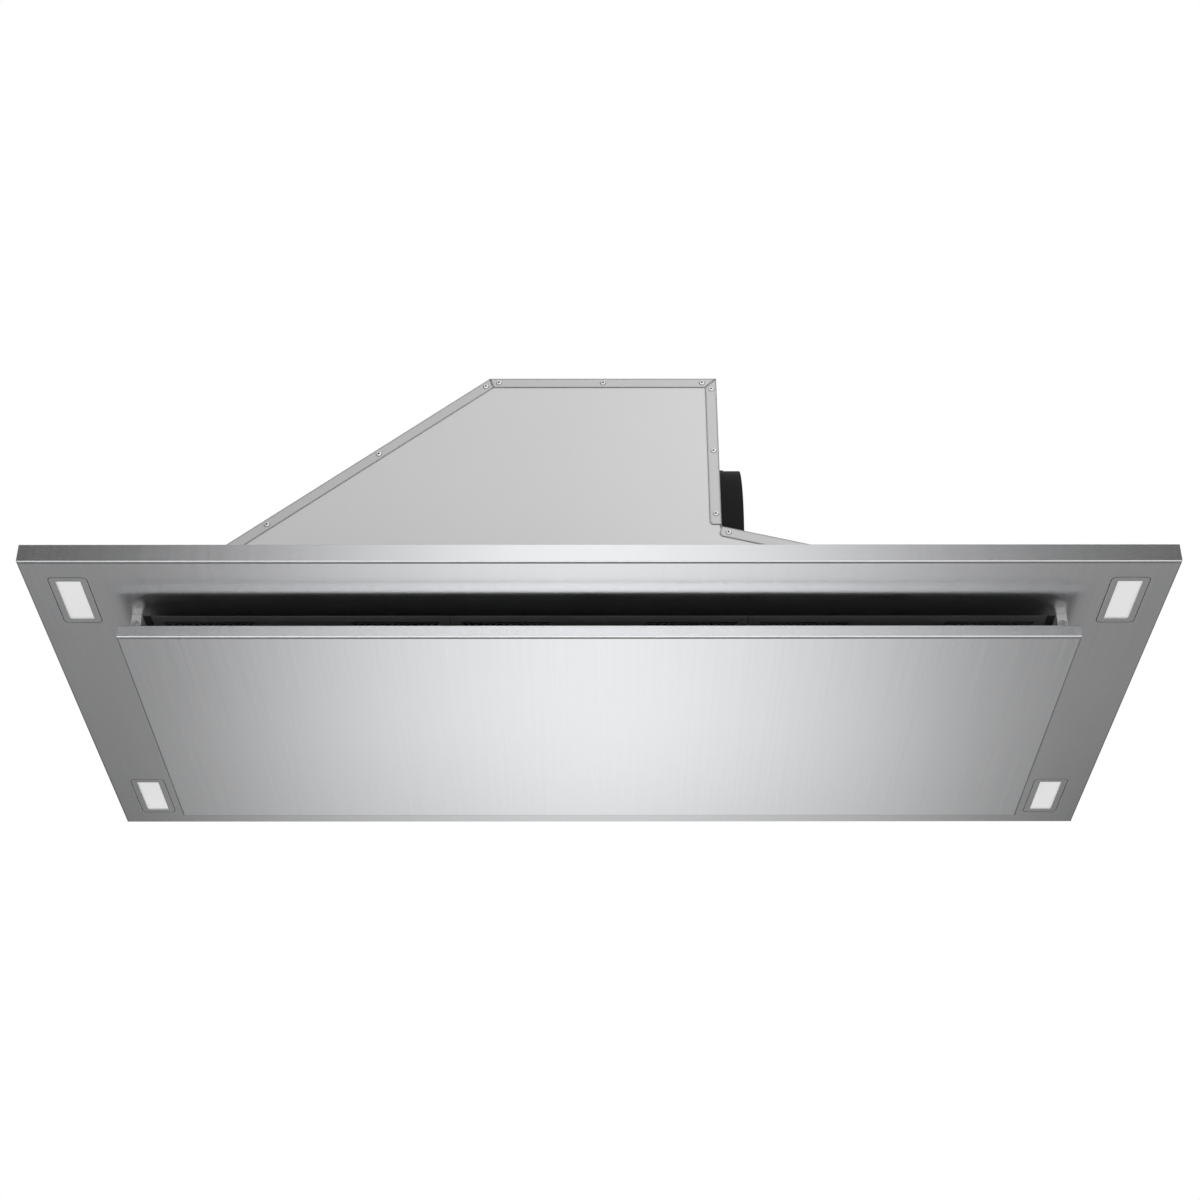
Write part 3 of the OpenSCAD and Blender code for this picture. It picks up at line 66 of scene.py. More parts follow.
class HoodStageSettings(bpy.types.PropertyGroup):
    """Camera, floor, lamps and reflection cards."""

    camera_place: bpy.props.FloatVectorProperty(
        name="Camera place",
        description="Where the camera stands, below and in front of the canopy",
        size=3,
        subtype="TRANSLATION",
        unit="LENGTH",
        precision=5,
        default=(-0.00023, -2.08501, -1.19845),
    )
    camera_turn: bpy.props.FloatVectorProperty(
        name="Camera turn",
        description="Tilt, roll and heading of the camera",
        size=3,
        subtype="EULER",
        unit="ROTATION",
        precision=5,
        default=(math.radians(122.3496), math.radians(0.0389), math.radians(-0.007)),
    )
    lens: bpy.props.FloatProperty(
        name="Lens",
        description="Focal length on a 36 mm wide sensor",
        unit="CAMERA",
        default=62.386,
        min=20,
        max=200,
    )
    floor_level: bpy.props.FloatProperty(
        name="Floor level",
        description="Height of the floor under the ceiling plane",
        unit="LENGTH",
        default=-1.9,
    )
    floor_radius: bpy.props.FloatProperty(
        name="Floor radius",
        description="Radius of the round floor, which fades to white at its rim",
        unit="LENGTH",
        default=4.2,
    )
    floor_colour: bpy.props.FloatVectorProperty(
        name="Floor colour",
        description="Plain pale colour of the floor",
        size=3,
        subtype="COLOR",
        default=(0.84, 0.84, 0.84),
        min=0,
        max=1,
    )
    room_light: bpy.props.FloatProperty(
        name="Room light",
        description="Even light from all round",
        default=0.5,
        min=0,
        max=1,
    )
    lamp_power: bpy.props.FloatProperty(
        name="Lamp power",
        description="Power of the soft lamp in front",
        unit="POWER",
        default=22,
        min=0,
    )


class HoodSteelSettings(bpy.types.PropertyGroup):
    """Brushed stainless sheet."""

    canopy_colour: bpy.props.FloatVectorProperty(
        name="Canopy colour",
        description="Stainless steel of canopy and lamp bezels",
        size=3,
        subtype="COLOR",
        default=(0.706, 0.711, 0.722),
        min=0,
        max=1,
    )
    panel_colour: bpy.props.FloatVectorProperty(
        name="Panel colour",
        description="Stainless steel of the perimeter panel",
        size=3,
        subtype="COLOR",
        default=(0.793, 0.799, 0.811),
        min=0,
        max=1,
    )
    roughness: bpy.props.FloatProperty(
        name="Roughness",
        description="How wide the brushed steel spreads its reflections",
        default=0.21,
        min=0,
        max=1,
    )
    grain_lines: bpy.props.FloatProperty(
        name="Grain lines",
        description="Brushed lines in a metre across the grain",
        default=2400,
        min=100,
    )
    grain_depth: bpy.props.FloatProperty(
        name="Grain depth",
        description="Depth of the brushed lines",
        unit="LENGTH",
        precision=6,
        default=0.000001,
        min=0,
    )
    spread: bpy.props.FloatProperty(
        name="Spread",
        description="How much wider reflections spread across the brushed lines than along them",
        default=0.9,
        min=0,
        max=1,
    )


class HoodCoatSettings(bpy.types.PropertyGroup):
    """Coats, paints and plastics."""

    body_colour: bpy.props.FloatVectorProperty(
        name="Body colour",
        description="Light grey coating of the body sheets",
        size=3,
        subtype="COLOR",
        default=(0.552, 0.552, 0.552),
        min=0,
        max=1,
    )
    # The full black, which the inner tray takes, is lighter than the paint itself: painted light for the
    # fill light the tray lacks in its gap. The collar takes a fifth of it.
    black_colour: bpy.props.FloatVectorProperty(
        name="Black",
        description="Matte black of the collar and the inner tray",
        size=3,
        subtype="COLOR",
        default=(0.075, 0.075, 0.076),
        min=0,
        max=1,
    )
    box_colour: bpy.props.FloatVectorProperty(
        name="Control box colour",
        description="Moulded plastic of the control box",
        size=3,
        subtype="COLOR",
        default=(0.70, 0.70, 0.69),
        min=0,
        max=1,
    )
    motor_colour: bpy.props.FloatVectorProperty(
        name="Motor colour",
        description="Paint of the motor",
        size=3,
        subtype="COLOR",
        default=(0.12, 0.124, 0.13),
        min=0,
        max=1,
    )
    diffuser_colour: bpy.props.FloatVectorProperty(
        name="Lamp window colour",
        description="Opal window of the lamps",
        size=3,
        subtype="COLOR",
        default=(0.93, 0.93, 0.92),
        min=0,
        max=1,
    )


class HoodScreenSettings(bpy.types.PropertyGroup):
    """Expanded metal of the filters."""

    cell_width: bpy.props.FloatProperty(
        name="Cell width",
        description="Width of one opening, along the hood",
        unit="LENGTH",
        precision=4,
        default=0.00736,
    )
    cell_length: bpy.props.FloatProperty(
        name="Cell length",
        description="Length of one opening, from front to rear",
        unit="LENGTH",
        precision=4,
        default=0.0094,
    )
    strand: bpy.props.FloatProperty(
        name="Strand",
        description="Width of a strand, measured from front to rear",
        unit="LENGTH",
        precision=4,
        default=0.0019,
    )
    sheet: bpy.props.FloatProperty(
        name="Sheet",
        description="Thickness of a strand",
        unit="LENGTH",
        precision=4,
        default=0.0006,
    )
    lift: bpy.props.FloatProperty(
        name="Lift",
        description="How far stretching turns a strand up and down at its bonds",
        unit="LENGTH",
        precision=4,
        default=0.0002,
    )


class HoodSpringSettings(bpy.types.PropertyGroup):
    """Wound springs that take the place of the frame's coarse ones."""

    latch_wire: bpy.props.FloatProperty(
        name="Latch spring wire",
        description="Wire of the springs behind the filter latches",
        unit="LENGTH",
        precision=4,
        default=0.0007,
    )
    latch_turns: bpy.props.IntProperty(
        name="Latch spring turns",
        description="Turns of each latch spring",
        default=15,
        min=3,
    )
    flap_wire: bpy.props.FloatProperty(
        name="Flap spring wire",
        description="Wire of the springs on the flap pins",
        unit="LENGTH",
        precision=4,
        default=0.0009,
    )
    flap_turns: bpy.props.IntProperty(
        name="Flap spring turns",
        description="Turns of each flap spring",
        default=6,
        min=2,
    )


# Shared shader effects


def shader_group(name, inputs, outputs):
    """A new node group with named sockets, and its two end nodes."""
    tree = bpy.data.node_groups.new(name, "ShaderNodeTree")
    for label, kind, value in inputs:
        socket = tree.interface.new_socket(label, in_out="INPUT", socket_type=kind)
        if value is not None:
            socket.default_value = value
    for label, kind in outputs:
        tree.interface.new_socket(label, in_out="OUTPUT", socket_type=kind)
    start = tree.nodes.new("NodeGroupInput")
    end = tree.nodes.new("NodeGroupOutput")
    return tree, start, end


def feed(tree, value, socket):
    """Gives a socket a plain value, or links another node's output to it."""
    if isinstance(value, bpy.types.NodeSocket):
        tree.links.new(value, socket)
    else:
        socket.default_value = value


def maths(tree, operation, first, second=None, clamp=False):
    """A maths node; each value is a number or an output socket."""
    node = tree.nodes.new("ShaderNodeMath")
    node.operation = operation
    node.use_clamp = clamp
    feed(tree, first, node.inputs[0])
    if second is not None:
        feed(tree, second, node.inputs[1])
    return node.outputs[0]


def vector_maths(tree, operation, first, second=None):
    """A vector maths node; each value is a plain vector or an output socket."""
    node = tree.nodes.new("ShaderNodeVectorMath")
    node.operation = operation
    feed(tree, first, node.inputs[0])
    if second is not None:
        feed(tree, second, node.inputs[1])
    return node.outputs


def blend(tree, first, second, share):
    """A mixture of two values, with the given share of the first."""
    return maths(tree, "ADD", maths(tree, "MULTIPLY", first, share),
                 maths(tree, "MULTIPLY", second, 1 - share))


def noise(tree, vector, scale, detail, roughness=0.5):
    """Soft random values over the surface."""
    node = tree.nodes.new("ShaderNodeTexNoise")
    node.inputs["Detail"].default_value = detail
    node.inputs["Roughness"].default_value = roughness
    tree.links.new(vector, node.inputs["Vector"])
    feed(tree, scale, node.inputs["Scale"])
    return node.outputs["Fac"]


def stretched(tree, vector, across, along):
    """Coordinates with many units across the grain and few along it."""
    size = tree.nodes.new("ShaderNodeCombineXYZ")
    for socket, value in zip(size.inputs, (across, along, along)):
        feed(tree, value, socket)
    return vector_maths(tree, "MULTIPLY", vector, size.outputs[0])["Vector"]


def brush_grain_group():
    """Brushed lines along Y and Z, fine ones over broader bands."""
    tree, start, end = shader_group(
        "Brush Grain",
        [
            ("Position", "NodeSocketVector", None),
            ("Lines", "NodeSocketFloat", 2400.0),
            ("Run", "NodeSocketFloat", 14.0),
            ("Band Share", "NodeSocketFloat", 0.12),
        ],
        [("Height", "NodeSocketFloat"), ("Mask", "NodeSocketFloat")],
    )
    position, lines = start.outputs["Position"], start.outputs["Lines"]
    run = start.outputs["Run"]
    fine = noise(tree, stretched(tree, position, lines, run), scale=1.0, detail=2.0)
    band_lines = maths(tree, "MULTIPLY", lines, start.outputs["Band Share"])
    band_run = maths(tree, "MULTIPLY", run, 0.15)
    bands = noise(tree, stretched(tree, position, band_lines, band_run), scale=1.0, detail=4.0)
    tree.links.new(blend(tree, fine, bands, share=0.65), end.inputs["Height"])
    tree.links.new(blend(tree, fine, bands, share=0.35), end.inputs["Mask"])
    return tree


def soft_edge_group():
    """A narrow rounding of every edge, as folded and deburred sheet has."""
    tree, start, end = shader_group(
        "Soft Edge",
        [("Radius", "NodeSocketFloat", 0.0005)],
        [("Normal", "NodeSocketVector"), ("Mask", "NodeSocketFloat")],
    )
    bevel = tree.nodes.new("ShaderNodeBevel")
    bevel.samples = 4
    tree.links.new(start.outputs["Radius"], bevel.inputs["Radius"])
    facing = tree.nodes.new("ShaderNodeNewGeometry").outputs["Normal"]
    alike = vector_maths(tree, "DOT_PRODUCT", bevel.outputs["Normal"], facing)["Value"]
    turned = maths(tree, "SUBTRACT", 1.0, alike)
    # The mask marks edges, seams and contacts, where the materials darken their colour as painted shade.
    contrast = 6.0
    tree.links.new(bevel.outputs["Normal"], end.inputs["Normal"])
    tree.links.new(maths(tree, "MULTIPLY", turned, contrast, clamp=True), end.inputs["Mask"])
    return tree


def uneven_sheen_group():
    """Slow patches of more and less gloss, with smaller ones over them."""
    tree, start, end = shader_group(
        "Uneven Sheen",
        [("Position", "NodeSocketVector", None), ("Patches", "NodeSocketFloat", 6.0)],
        [("Mask", "NodeSocketFloat")],
    )
    position, patches = start.outputs["Position"], start.outputs["Patches"]
    small_patches = maths(tree, "MULTIPLY", patches, 9.0)
    broad = noise(tree, position, patches, detail=3.0)
    small = noise(tree, position, small_patches, detail=4.0, roughness=0.6)
    tree.links.new(blend(tree, broad, small, share=0.7), end.inputs["Mask"])
    return tree


def coat_skin_group():
    """The fine skin of a sprayed coat, with a few settled specks."""
    tree, start, end = shader_group(
        "Coat Skin",
        [
            ("Position", "NodeSocketVector", None),
            ("Cells", "NodeSocketFloat", 700.0),
            ("Speck Cells", "NodeSocketFloat", 90.0),
        ],
        [("Height", "NodeSocketFloat"), ("Specks", "NodeSocketFloat")],
    )
    position = start.outputs["Position"]
    skin_of_coat = noise(tree, position, start.outputs["Cells"], detail=2.0)
    spots = tree.nodes.new("ShaderNodeTexVoronoi")
    tree.links.new(position, spots.inputs["Vector"])
    tree.links.new(start.outputs["Speck Cells"], spots.inputs["Scale"])
    sharpness = 9.0
    distance = maths(tree, "MULTIPLY", spots.outputs["Distance"], sharpness)
    near = maths(tree, "SUBTRACT", 1.0, distance, clamp=True)
    bare_share = 0.66
    dusty = maths(tree, "GREATER_THAN", noise(tree, position, scale=31.0, detail=2.0), bare_share)
    tree.links.new(skin_of_coat, end.inputs["Height"])
    tree.links.new(maths(tree, "MULTIPLY", near, dusty), end.inputs["Specks"])
    return tree


def moulded_grain_group():
    """The pebbled grain of moulded plastic and of blasted, anodised metal."""
    tree, start, end = shader_group(
        "Moulded Grain",
        [("Position", "NodeSocketVector", None), ("Pebbles", "NodeSocketFloat", 1500.0)],
        [("Height", "NodeSocketFloat"), ("Mask", "NodeSocketFloat")],
    )
    cells = tree.nodes.new("ShaderNodeTexVoronoi")
    cells.feature = "SMOOTH_F1"
    tree.links.new(start.outputs["Position"], cells.inputs["Vector"])
    tree.links.new(start.outputs["Pebbles"], cells.inputs["Scale"])
    patches = noise(tree, start.outputs["Position"], scale=25.0, detail=3.0)
    tree.links.new(cells.outputs["Distance"], end.inputs["Height"])
    tree.links.new(patches, end.inputs["Mask"])
    return tree


def zinc_spangle_group():
    """The large soft crystals of galvanised sheet."""
    tree, start, end = shader_group(
        "Zinc Spangle",
        [("Position", "NodeSocketVector", None), ("Crystals", "NodeSocketFloat", 140.0)],
        [("Mask", "NodeSocketFloat"), ("Height", "NodeSocketFloat")],
    )
    cells = tree.nodes.new("ShaderNodeTexVoronoi")
    tree.links.new(start.outputs["Position"], cells.inputs["Vector"])
    tree.links.new(start.outputs["Crystals"], cells.inputs["Scale"])
    tone = tree.nodes.new("ShaderNodeSeparateColor")
    tree.links.new(cells.outputs["Color"], tone.inputs[0])
    dull = noise(tree, start.outputs["Position"], scale=400.0, detail=3.0)
    tree.links.new(tone.outputs[0], end.inputs["Mask"])
    tree.links.new(dull, end.inputs["Height"])
    return tree


SHARED_EFFECTS = {
    "Brush Grain": brush_grain_group,
    "Soft Edge": soft_edge_group,
    "Uneven Sheen": uneven_sheen_group,
    "Coat Skin": coat_skin_group,
    "Moulded Grain": moulded_grain_group,
    "Zinc Spangle": zinc_spangle_group,
}


class Finish:
    """One material under construction: its tree, its shader and the object's coordinates."""

    def __init__(self, name):
        self.material = bpy.data.materials.new(name)
        self.material.use_nodes = True
        self.tree = self.material.node_tree
        self.shader = self.tree.nodes["Principled BSDF"]
        self.position = self.tree.nodes.new("ShaderNodeTexCoord").outputs["Object"]

    def effect(self, name, **values):
        """Places a shared effect with this material's own values."""
        if name not in bpy.data.node_groups:
            SHARED_EFFECTS[name]()
        node = self.tree.nodes.new("ShaderNodeGroup")
        node.node_tree = bpy.data.node_groups[name]
        if "Position" in node.inputs:
            self.tree.links.new(self.position, node.inputs["Position"])
        for label, value in values.items():
            node.inputs[label.replace("_", " ").title()].default_value = value
        return node.outputs

    def mixed(self, mask, first, second, how="MIX"):
        """Two colours in one; each is an output socket or red, green, blue and alpha."""
        mix = self.tree.nodes.new("ShaderNodeMix")
        mix.data_type = "RGBA"
        mix.blend_type = how
        feed(self.tree, first, mix.inputs["A"])
        feed(self.tree, second, mix.inputs["B"])
        self.tree.links.new(mask, mix.inputs["Factor"])
        return mix.outputs["Result"]

    def tones(self, mask, dark, light):
        """Colour between two tones."""
        return self.mixed(mask, (*dark, 1), (*light, 1))

    def shades(self, mask, colour, darkest, lightest):
        """One colour, between a darker and a lighter share of it."""
        return self.tones(mask, scaled(colour, darkest), scaled(colour, lightest))

    def colour(self, socket):
        """Sends a colour to the shader."""
        self.tree.links.new(socket, self.shader.inputs["Base Color"])

    def roughness(self, mask, low, high):
        """Roughness between two values."""
        span = self.tree.nodes.new("ShaderNodeMapRange")
        span.inputs["To Min"].default_value = low
        span.inputs["To Max"].default_value = high
        self.tree.links.new(mask, span.inputs["Value"])
        self.tree.links.new(span.outputs["Result"], self.shader.inputs["Roughness"])

    def relief(self, height, depth, edge_radius=0.0):
        """Bump of the given depth, over edges softened by the given radius."""
        bump = self.tree.nodes.new("ShaderNodeBump")
        bump.inputs["Strength"].default_value = 1.0
        bump.inputs["Distance"].default_value = depth
        self.tree.links.new(height, bump.inputs["Height"])
        if edge_radius:
            edge = self.effect("Soft Edge", radius=edge_radius)
            self.tree.links.new(edge["Normal"], bump.inputs["Normal"])
        self.tree.links.new(bump.outputs["Normal"], self.shader.inputs["Normal"])

    def painted_edge_shade(self, colour, radius, level):
        """The colour, darkened to the given level beside edges, seams and contacts, as painted shade and
        painted dark reflections.
        """
        edge = self.effect("Soft Edge", radius=radius)
        return self.mixed(edge["Mask"], colour, (level, level, level, 1), how="MULTIPLY")

    def spread_across_lines(self, amount):
        """Widens reflections along X, because the brushed lines run along Y and Z."""
        barely_off_x = (1, 0.004, 0)  # so that the sides that face along X have a direction too
        self.shader.inputs["Anisotropic"].default_value = amount
        facing = self.tree.nodes.new("ShaderNodeNewGeometry").outputs["Normal"]
        along = vector_maths(self.tree, "CROSS_PRODUCT", facing, barely_off_x)["Vector"]
        across = vector_maths(self.tree, "CROSS_PRODUCT", along, facing)["Vector"]
        self.tree.links.new(across, self.shader.inputs["Tangent"])

    def metal(self, share=1.0):
        """Sets how much of the surface shines as bare metal does."""
        self.shader.inputs["Metallic"].default_value = share
        return self


def scaled(colour, factor):
    """A colour made lighter or darker, kept at 1 or less."""
    return tuple(min(1.0, part * factor) for part in colour)


def brushed_sheet(name, colour, shade_radius, shade_level):
    """Stainless sheet, brushed from front to rear, with painted shade beside its edges and folds."""
    steel = bpy.context.scene.hood_steel
    finish = Finish(name).metal(0.975)
    grain = finish.effect("Brush Grain", lines=steel.grain_lines)
    sheen = finish.effect("Uneven Sheen", patches=3.0)
    base = finish.shades(grain["Mask"], colour, 0.94, 1.06)
    # Painted shade and painted dark reflections along edges and folds.
    finish.colour(finish.painted_edge_shade(base, shade_radius, shade_level))
    gloss = blend(finish.tree, grain["Mask"], sheen["Mask"], share=0.5)
    finish.roughness(gloss, steel.roughness - 0.05, steel.roughness + 0.05)
    finish.relief(grain["Height"], steel.grain_depth, edge_radius=0.0006)
    finish.spread_across_lines(steel.spread)
    return finish.material


def canopy_steel():
    colour = bpy.context.scene.hood_steel.canopy_colour
    return brushed_sheet("Canopy brushed steel", colour, shade_radius=0.0009, shade_level=0.8)


def panel_steel():
    colour = bpy.context.scene.hood_steel.panel_colour
    return brushed_sheet("Panel brushed steel", colour, shade_radius=0.0012, shade_level=0.6)


def bezel_steel():
    colour = bpy.context.scene.hood_steel.canopy_colour
    return brushed_sheet("Bezel brushed steel", colour, shade_radius=0.0011, shade_level=0.82)


def body_coat(name="Body coated sheet", share=1.0):
    """Light grey coated sheet with a faint skin, specks, and painted shade beside its edges and seams."""
    colour = scaled(bpy.context.scene.hood_coats.body_colour, share)
    finish = Finish(name)
    skin_of_coat = finish.effect("Coat Skin", cells=900.0, speck_cells=70.0)
    sheen = finish.effect("Uneven Sheen", patches=5.0)
    base = finish.shades(sheen["Mask"], colour, 0.96, 1.03)
    faint_specks = maths(finish.tree, "MULTIPLY", skin_of_coat["Specks"], 0.5)
    specked = finish.mixed(faint_specks, base, (*scaled(colour, 0.8), 1))
    # Painted shade beside edges and seams, where the flanges would cast their shadow lines.
    finish.colour(finish.painted_edge_shade(specked, radius=0.0026, level=0.08))
    finish.roughness(sheen["Mask"], 0.40, 0.52)
    finish.relief(skin_of_coat["Height"], depth=0.00001, edge_radius=0.0005)
    return finish.material


# The wrap and ramp sheets take 0.84 of the body colour: a darker copy of the same coat, as painted shade.
def wrap_coat_painted_shade():
    return body_coat("Wrap coated sheet", share=0.84)


def dark_coat(name, colour, roughness, cells, shine=0.25):
    """Sprayed dark paint with a little dust."""
    finish = Finish(name)
    skin_of_coat = finish.effect("Coat Skin", cells=cells, speck_cells=120.0)
    sheen = finish.effect("Uneven Sheen", patches=8.0)
    dusty = blend(finish.tree, sheen["Mask"], skin_of_coat["Specks"], share=0.7)
    finish.colour(finish.shades(dusty, colour, 0.7, 1.6))
    finish.shader.inputs["Specular IOR Level"].default_value = shine
    finish.roughness(sheen["Mask"], *roughness)
    finish.relief(skin_of_coat["Height"], depth=0.00003, edge_radius=0.0004)
    return finish.material


def black_paint():
    # The inner tray's black is set light: painted light for the fill light it lacks in the gap.
    colour = bpy.context.scene.hood_coats.black_colour
    return dark_coat("Matte black paint", colour, roughness=(0.5, 0.62), cells=1100.0)


def collar_paint():
    colour = scaled(bpy.context.scene.hood_coats.black_colour, 0.2)
    return dark_coat("Collar black", colour, roughness=(0.5, 0.6), cells=1100.0, shine=0.015)


def motor_paint():
    colour = bpy.context.scene.hood_coats.motor_colour
    return dark_coat("Motor paint", colour, roughness=(0.36, 0.5), cells=600.0)


def moulded(name, colour, roughness, depth, pebbles=1500.0):
    """Moulded plastic with a pebbled grain."""
    finish = Finish(name)
    grain = finish.effect("Moulded Grain", pebbles=pebbles)
    finish.colour(finish.shades(grain["Mask"], colour, 0.85, 1.15))
    finish.roughness(grain["Mask"], *roughness)
    finish.relief(grain["Height"], depth, edge_radius=0.0004)
    return finish.material


def black_plastic():
    return moulded("Black moulded plastic", (0.02, 0.02, 0.021), roughness=(0.38, 0.5), depth=0.00006)


def black_anodised():
    """Blasted and anodised border, whose grain is finer than a plastic's. Its grey is far lighter than
    black anodising: painted light for the fill light it lacks in the gap under the panel.
    """
    colour = (0.27, 0.27, 0.272)
    return moulded("Black anodised border", colour, roughness=(0.34, 0.46), depth=0.00002, pebbles=2600.0)


def box_plastic():
    colour = bpy.context.scene.hood_coats.box_colour
    return moulded("Control box plastic", colour, roughness=(0.4, 0.52), depth=0.00005)


def lamp_window():
    """Opal window: a fine prism pattern, and a painted glow that stands in for the room light caught
    inside.
    """
    colour = bpy.context.scene.hood_coats.diffuser_colour
    finish = Finish("Opal lamp window")
    grain = finish.effect("Moulded Grain", pebbles=650.0)
    finish.colour(finish.shades(grain["Mask"], colour, 0.97, 1.0))
    finish.roughness(grain["Mask"], 0.26, 0.34)
    finish.relief(grain["Height"], depth=0.00012, edge_radius=0.0006)
    # Painted glow: weak emission in place of the light the opal scatters.
    painted_glow = finish.tones(grain["Mask"], (0.92, 0.93, 0.95), (1.0, 1.0, 1.0))
    finish.tree.links.new(painted_glow, finish.shader.inputs["Emission Color"])
    finish.shader.inputs["Emission Strength"].default_value = 0.35
    return finish.material


def drawn_metal(name, colour, roughness, lines, edge_radius=0.0003, shade_radius=0.0):
    """Plated, turned or drawn metal with fine tool lines."""
    finish = Finish(name).metal()
    grain = finish.effect("Brush Grain", lines=lines, run=lines * 0.2)
    sheen = finish.effect("Uneven Sheen", patches=60.0)
    base = finish.shades(sheen["Mask"], colour, 0.86, 1.1)
    # Painted shade beside edges, where a shade radius is given.
    if shade_radius:
        base = finish.painted_edge_shade(base, shade_radius, level=0.3)
    finish.colour(base)
    finish.roughness(sheen["Mask"], *roughness)
    finish.relief(grain["Height"], depth=0.00001, edge_radius=edge_radius)
    return finish.material


def nickel_plate():
    colour = (0.80, 0.785, 0.76)
    # Painted shade beside the edges of the plated parts.
    return drawn_metal("Nickel plate", colour, roughness=(0.12, 0.26), lines=900.0, shade_radius=0.0008)


def catch_nickel():
    """Satin nickel over cast zinc: half mirror, half milky."""
    finish = Finish("Satin nickel").metal(0.6)
    sheen = finish.effect("Uneven Sheen", patches=60.0)
    base = finish.tones(sheen["Mask"], (0.90, 0.895, 0.885), (0.97, 0.965, 0.955))
    # Painted shade beside edges and seams of the catch.
    finish.colour(finish.painted_edge_shade(base, radius=0.0006, level=0.2))
    finish.roughness(sheen["Mask"], 0.5, 0.6)
    grain = finish.effect("Moulded Grain", pebbles=3000.0)
    finish.relief(grain["Height"], depth=0.00001, edge_radius=0.0003)
    return finish.material


def adjuster_metal():
    """Turned screw heads, with painted shade in the slot and round the rim."""
    colour = (0.62, 0.61, 0.60)
    return drawn_metal("Adjuster nickel", colour, roughness=(0.3, 0.42), lines=1400.0, shade_radius=0.0009)


def rivet_metal():
    """Satin aluminium heads, with painted shade in the hole and where they meet the sheet."""
    finish = Finish("Rivet aluminium").metal(0.35)
    sheen = finish.effect("Uneven Sheen", patches=90.0)
    base = finish.tones(sheen["Mask"], (0.86, 0.86, 0.86), (0.97, 0.97, 0.97))
    # Painted shade: a dark ring where the head meets the sheet, and a dark hole.
    finish.colour(finish.painted_edge_shade(base, radius=0.0015, level=0.02))
    finish.roughness(sheen["Mask"], 0.3, 0.42)
    return finish.material


def mandrel_steel_painted_shade():
    """The broken end of a rivet mandrel, near black: its own dark steel, and painted shade of the rivet's
    hole.
    """
    finish = Finish("Burnt mandrel steel").metal(0.5)
    sheen = finish.effect("Uneven Sheen", patches=400.0)
    finish.colour(finish.tones(sheen["Mask"], (0.012, 0.012, 0.013), (0.035, 0.034, 0.034)))
    finish.roughness(sheen["Mask"], 0.5, 0.7)
    return finish.material


def spring_steel():
    colour = (0.46, 0.46, 0.47)
    return drawn_metal("Spring steel", colour, roughness=(0.2, 0.34), lines=2000.0, edge_radius=0.0)


def dark_metal():
    return drawn_metal("Dark plated metal", (0.16, 0.16, 0.165), roughness=(0.28, 0.42), lines=1200.0)


def mesh_metal():
    """Expanded aluminium with a thin dark coat, half mirror and half matt, its grey set lighter as painted
    light for the fill light it lacks in the gap under the panel.
    """
    finish = Finish("Filter expanded metal").metal(0.4)
    sheen = finish.effect("Uneven Sheen", patches=60.0)
    finish.colour(finish.tones(sheen["Mask"], (0.30, 0.30, 0.302), (0.42, 0.42, 0.423)))
    finish.roughness(sheen["Mask"], 0.4, 0.55)
    return finish.material


def aluminium_can():
    return drawn_metal("Aluminium can", (0.74, 0.745, 0.75), roughness=(0.24, 0.38), lines=700.0)


def wheel_metal():
    """Galvanised sheet with its crystals."""
    finish = Finish("Galvanised wheel sheet").metal()
    zinc = finish.effect("Zinc Spangle", crystals=160.0)
    finish.colour(finish.tones(zinc["Mask"], (0.50, 0.515, 0.53), (0.66, 0.67, 0.68)))
    finish.roughness(zinc["Mask"], 0.3, 0.46)
    finish.relief(zinc["Height"], depth=0.00002, edge_radius=0.0002)
    return finish.material


FINISHES = {
    "brushed_steel": canopy_steel,
    "panel_steel": panel_steel,
    "galvanised": body_coat,
    "nickel_plate": nickel_plate,
    "spring_steel": spring_steel,
    "lamp_diffuser": lamp_window,
    "black_plastic": black_plastic,
    "dark_metal": dark_metal,
    "black_paint": black_paint,
    "black_anodised": black_anodised,
    "mesh_metal": mesh_metal,
    "wheel_metal": wheel_metal,
    "motor_paint": motor_paint,
    "box_plastic": box_plastic,
    "aluminium_can": aluminium_can,
}
FINISHES_OF_NODES = {
    "lamp_bezel": bezel_steel,
    "body_wrap_sheet": wrap_coat_painted_shade,
    "body_ramp_sheet": wrap_coat_painted_shade,
    "body_rivets": rivet_metal,
    "rivet_mandrel_ends": mandrel_steel_painted_shade,
    "duct_collar": collar_paint,
    "catch_left": catch_nickel,
    "catch_right": catch_nickel,
    "catch_adjusters": adjuster_metal,
}
made_finishes = {}


def finish_of(slot, node):
    """The material of a slot in the record, or a node's own variant of it, made once."""
    make = FINISHES[slot]
    for start, variant in FINISHES_OF_NODES.items():
        if node.startswith(start):
            make = variant
    if make not in made_finishes:
        made_finishes[make] = make()
    return made_finishes[make]


def dress(*names):
    """Gives frame nodes the finish of their own slot. A name may end in * for several."""
    found = 0
    for name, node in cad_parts.items():
        if not any(name == want or want.endswith("*") and name.startswith(want[:-1]) for want in names):
            continue
        for slot in node.material_slots:
            slot.material = finish_of(slot.material.name.split(".")[0], name)
        found += 1
    if not found:
        raise RuntimeError("no node of the frame is called " + ", ".join(names))


# Shapes


def mesh_object(name, build):
    """A new object from a function that fills a mesh under construction."""
    shape = bmesh.new()
    build(shape)
    mesh = bpy.data.meshes.new(name)
    shape.to_mesh(mesh)
    shape.free()
    item = bpy.data.objects.new(name, mesh)
    bpy.context.scene.collection.objects.link(item)
    return item


def skin(shape, rings, smooth):
    """Closes a row of rings into one tube with two end faces."""
    around = len(rings[0])
    for near, far in zip(rings, rings[1:]):
        for index in range(around):
            after = (index + 1) % around
            face = shape.faces.new((near[index], near[after], far[after], far[index]))
            face.smooth = smooth
    shape.faces.new(rings[0][::-1])
    shape.faces.new(rings[-1])


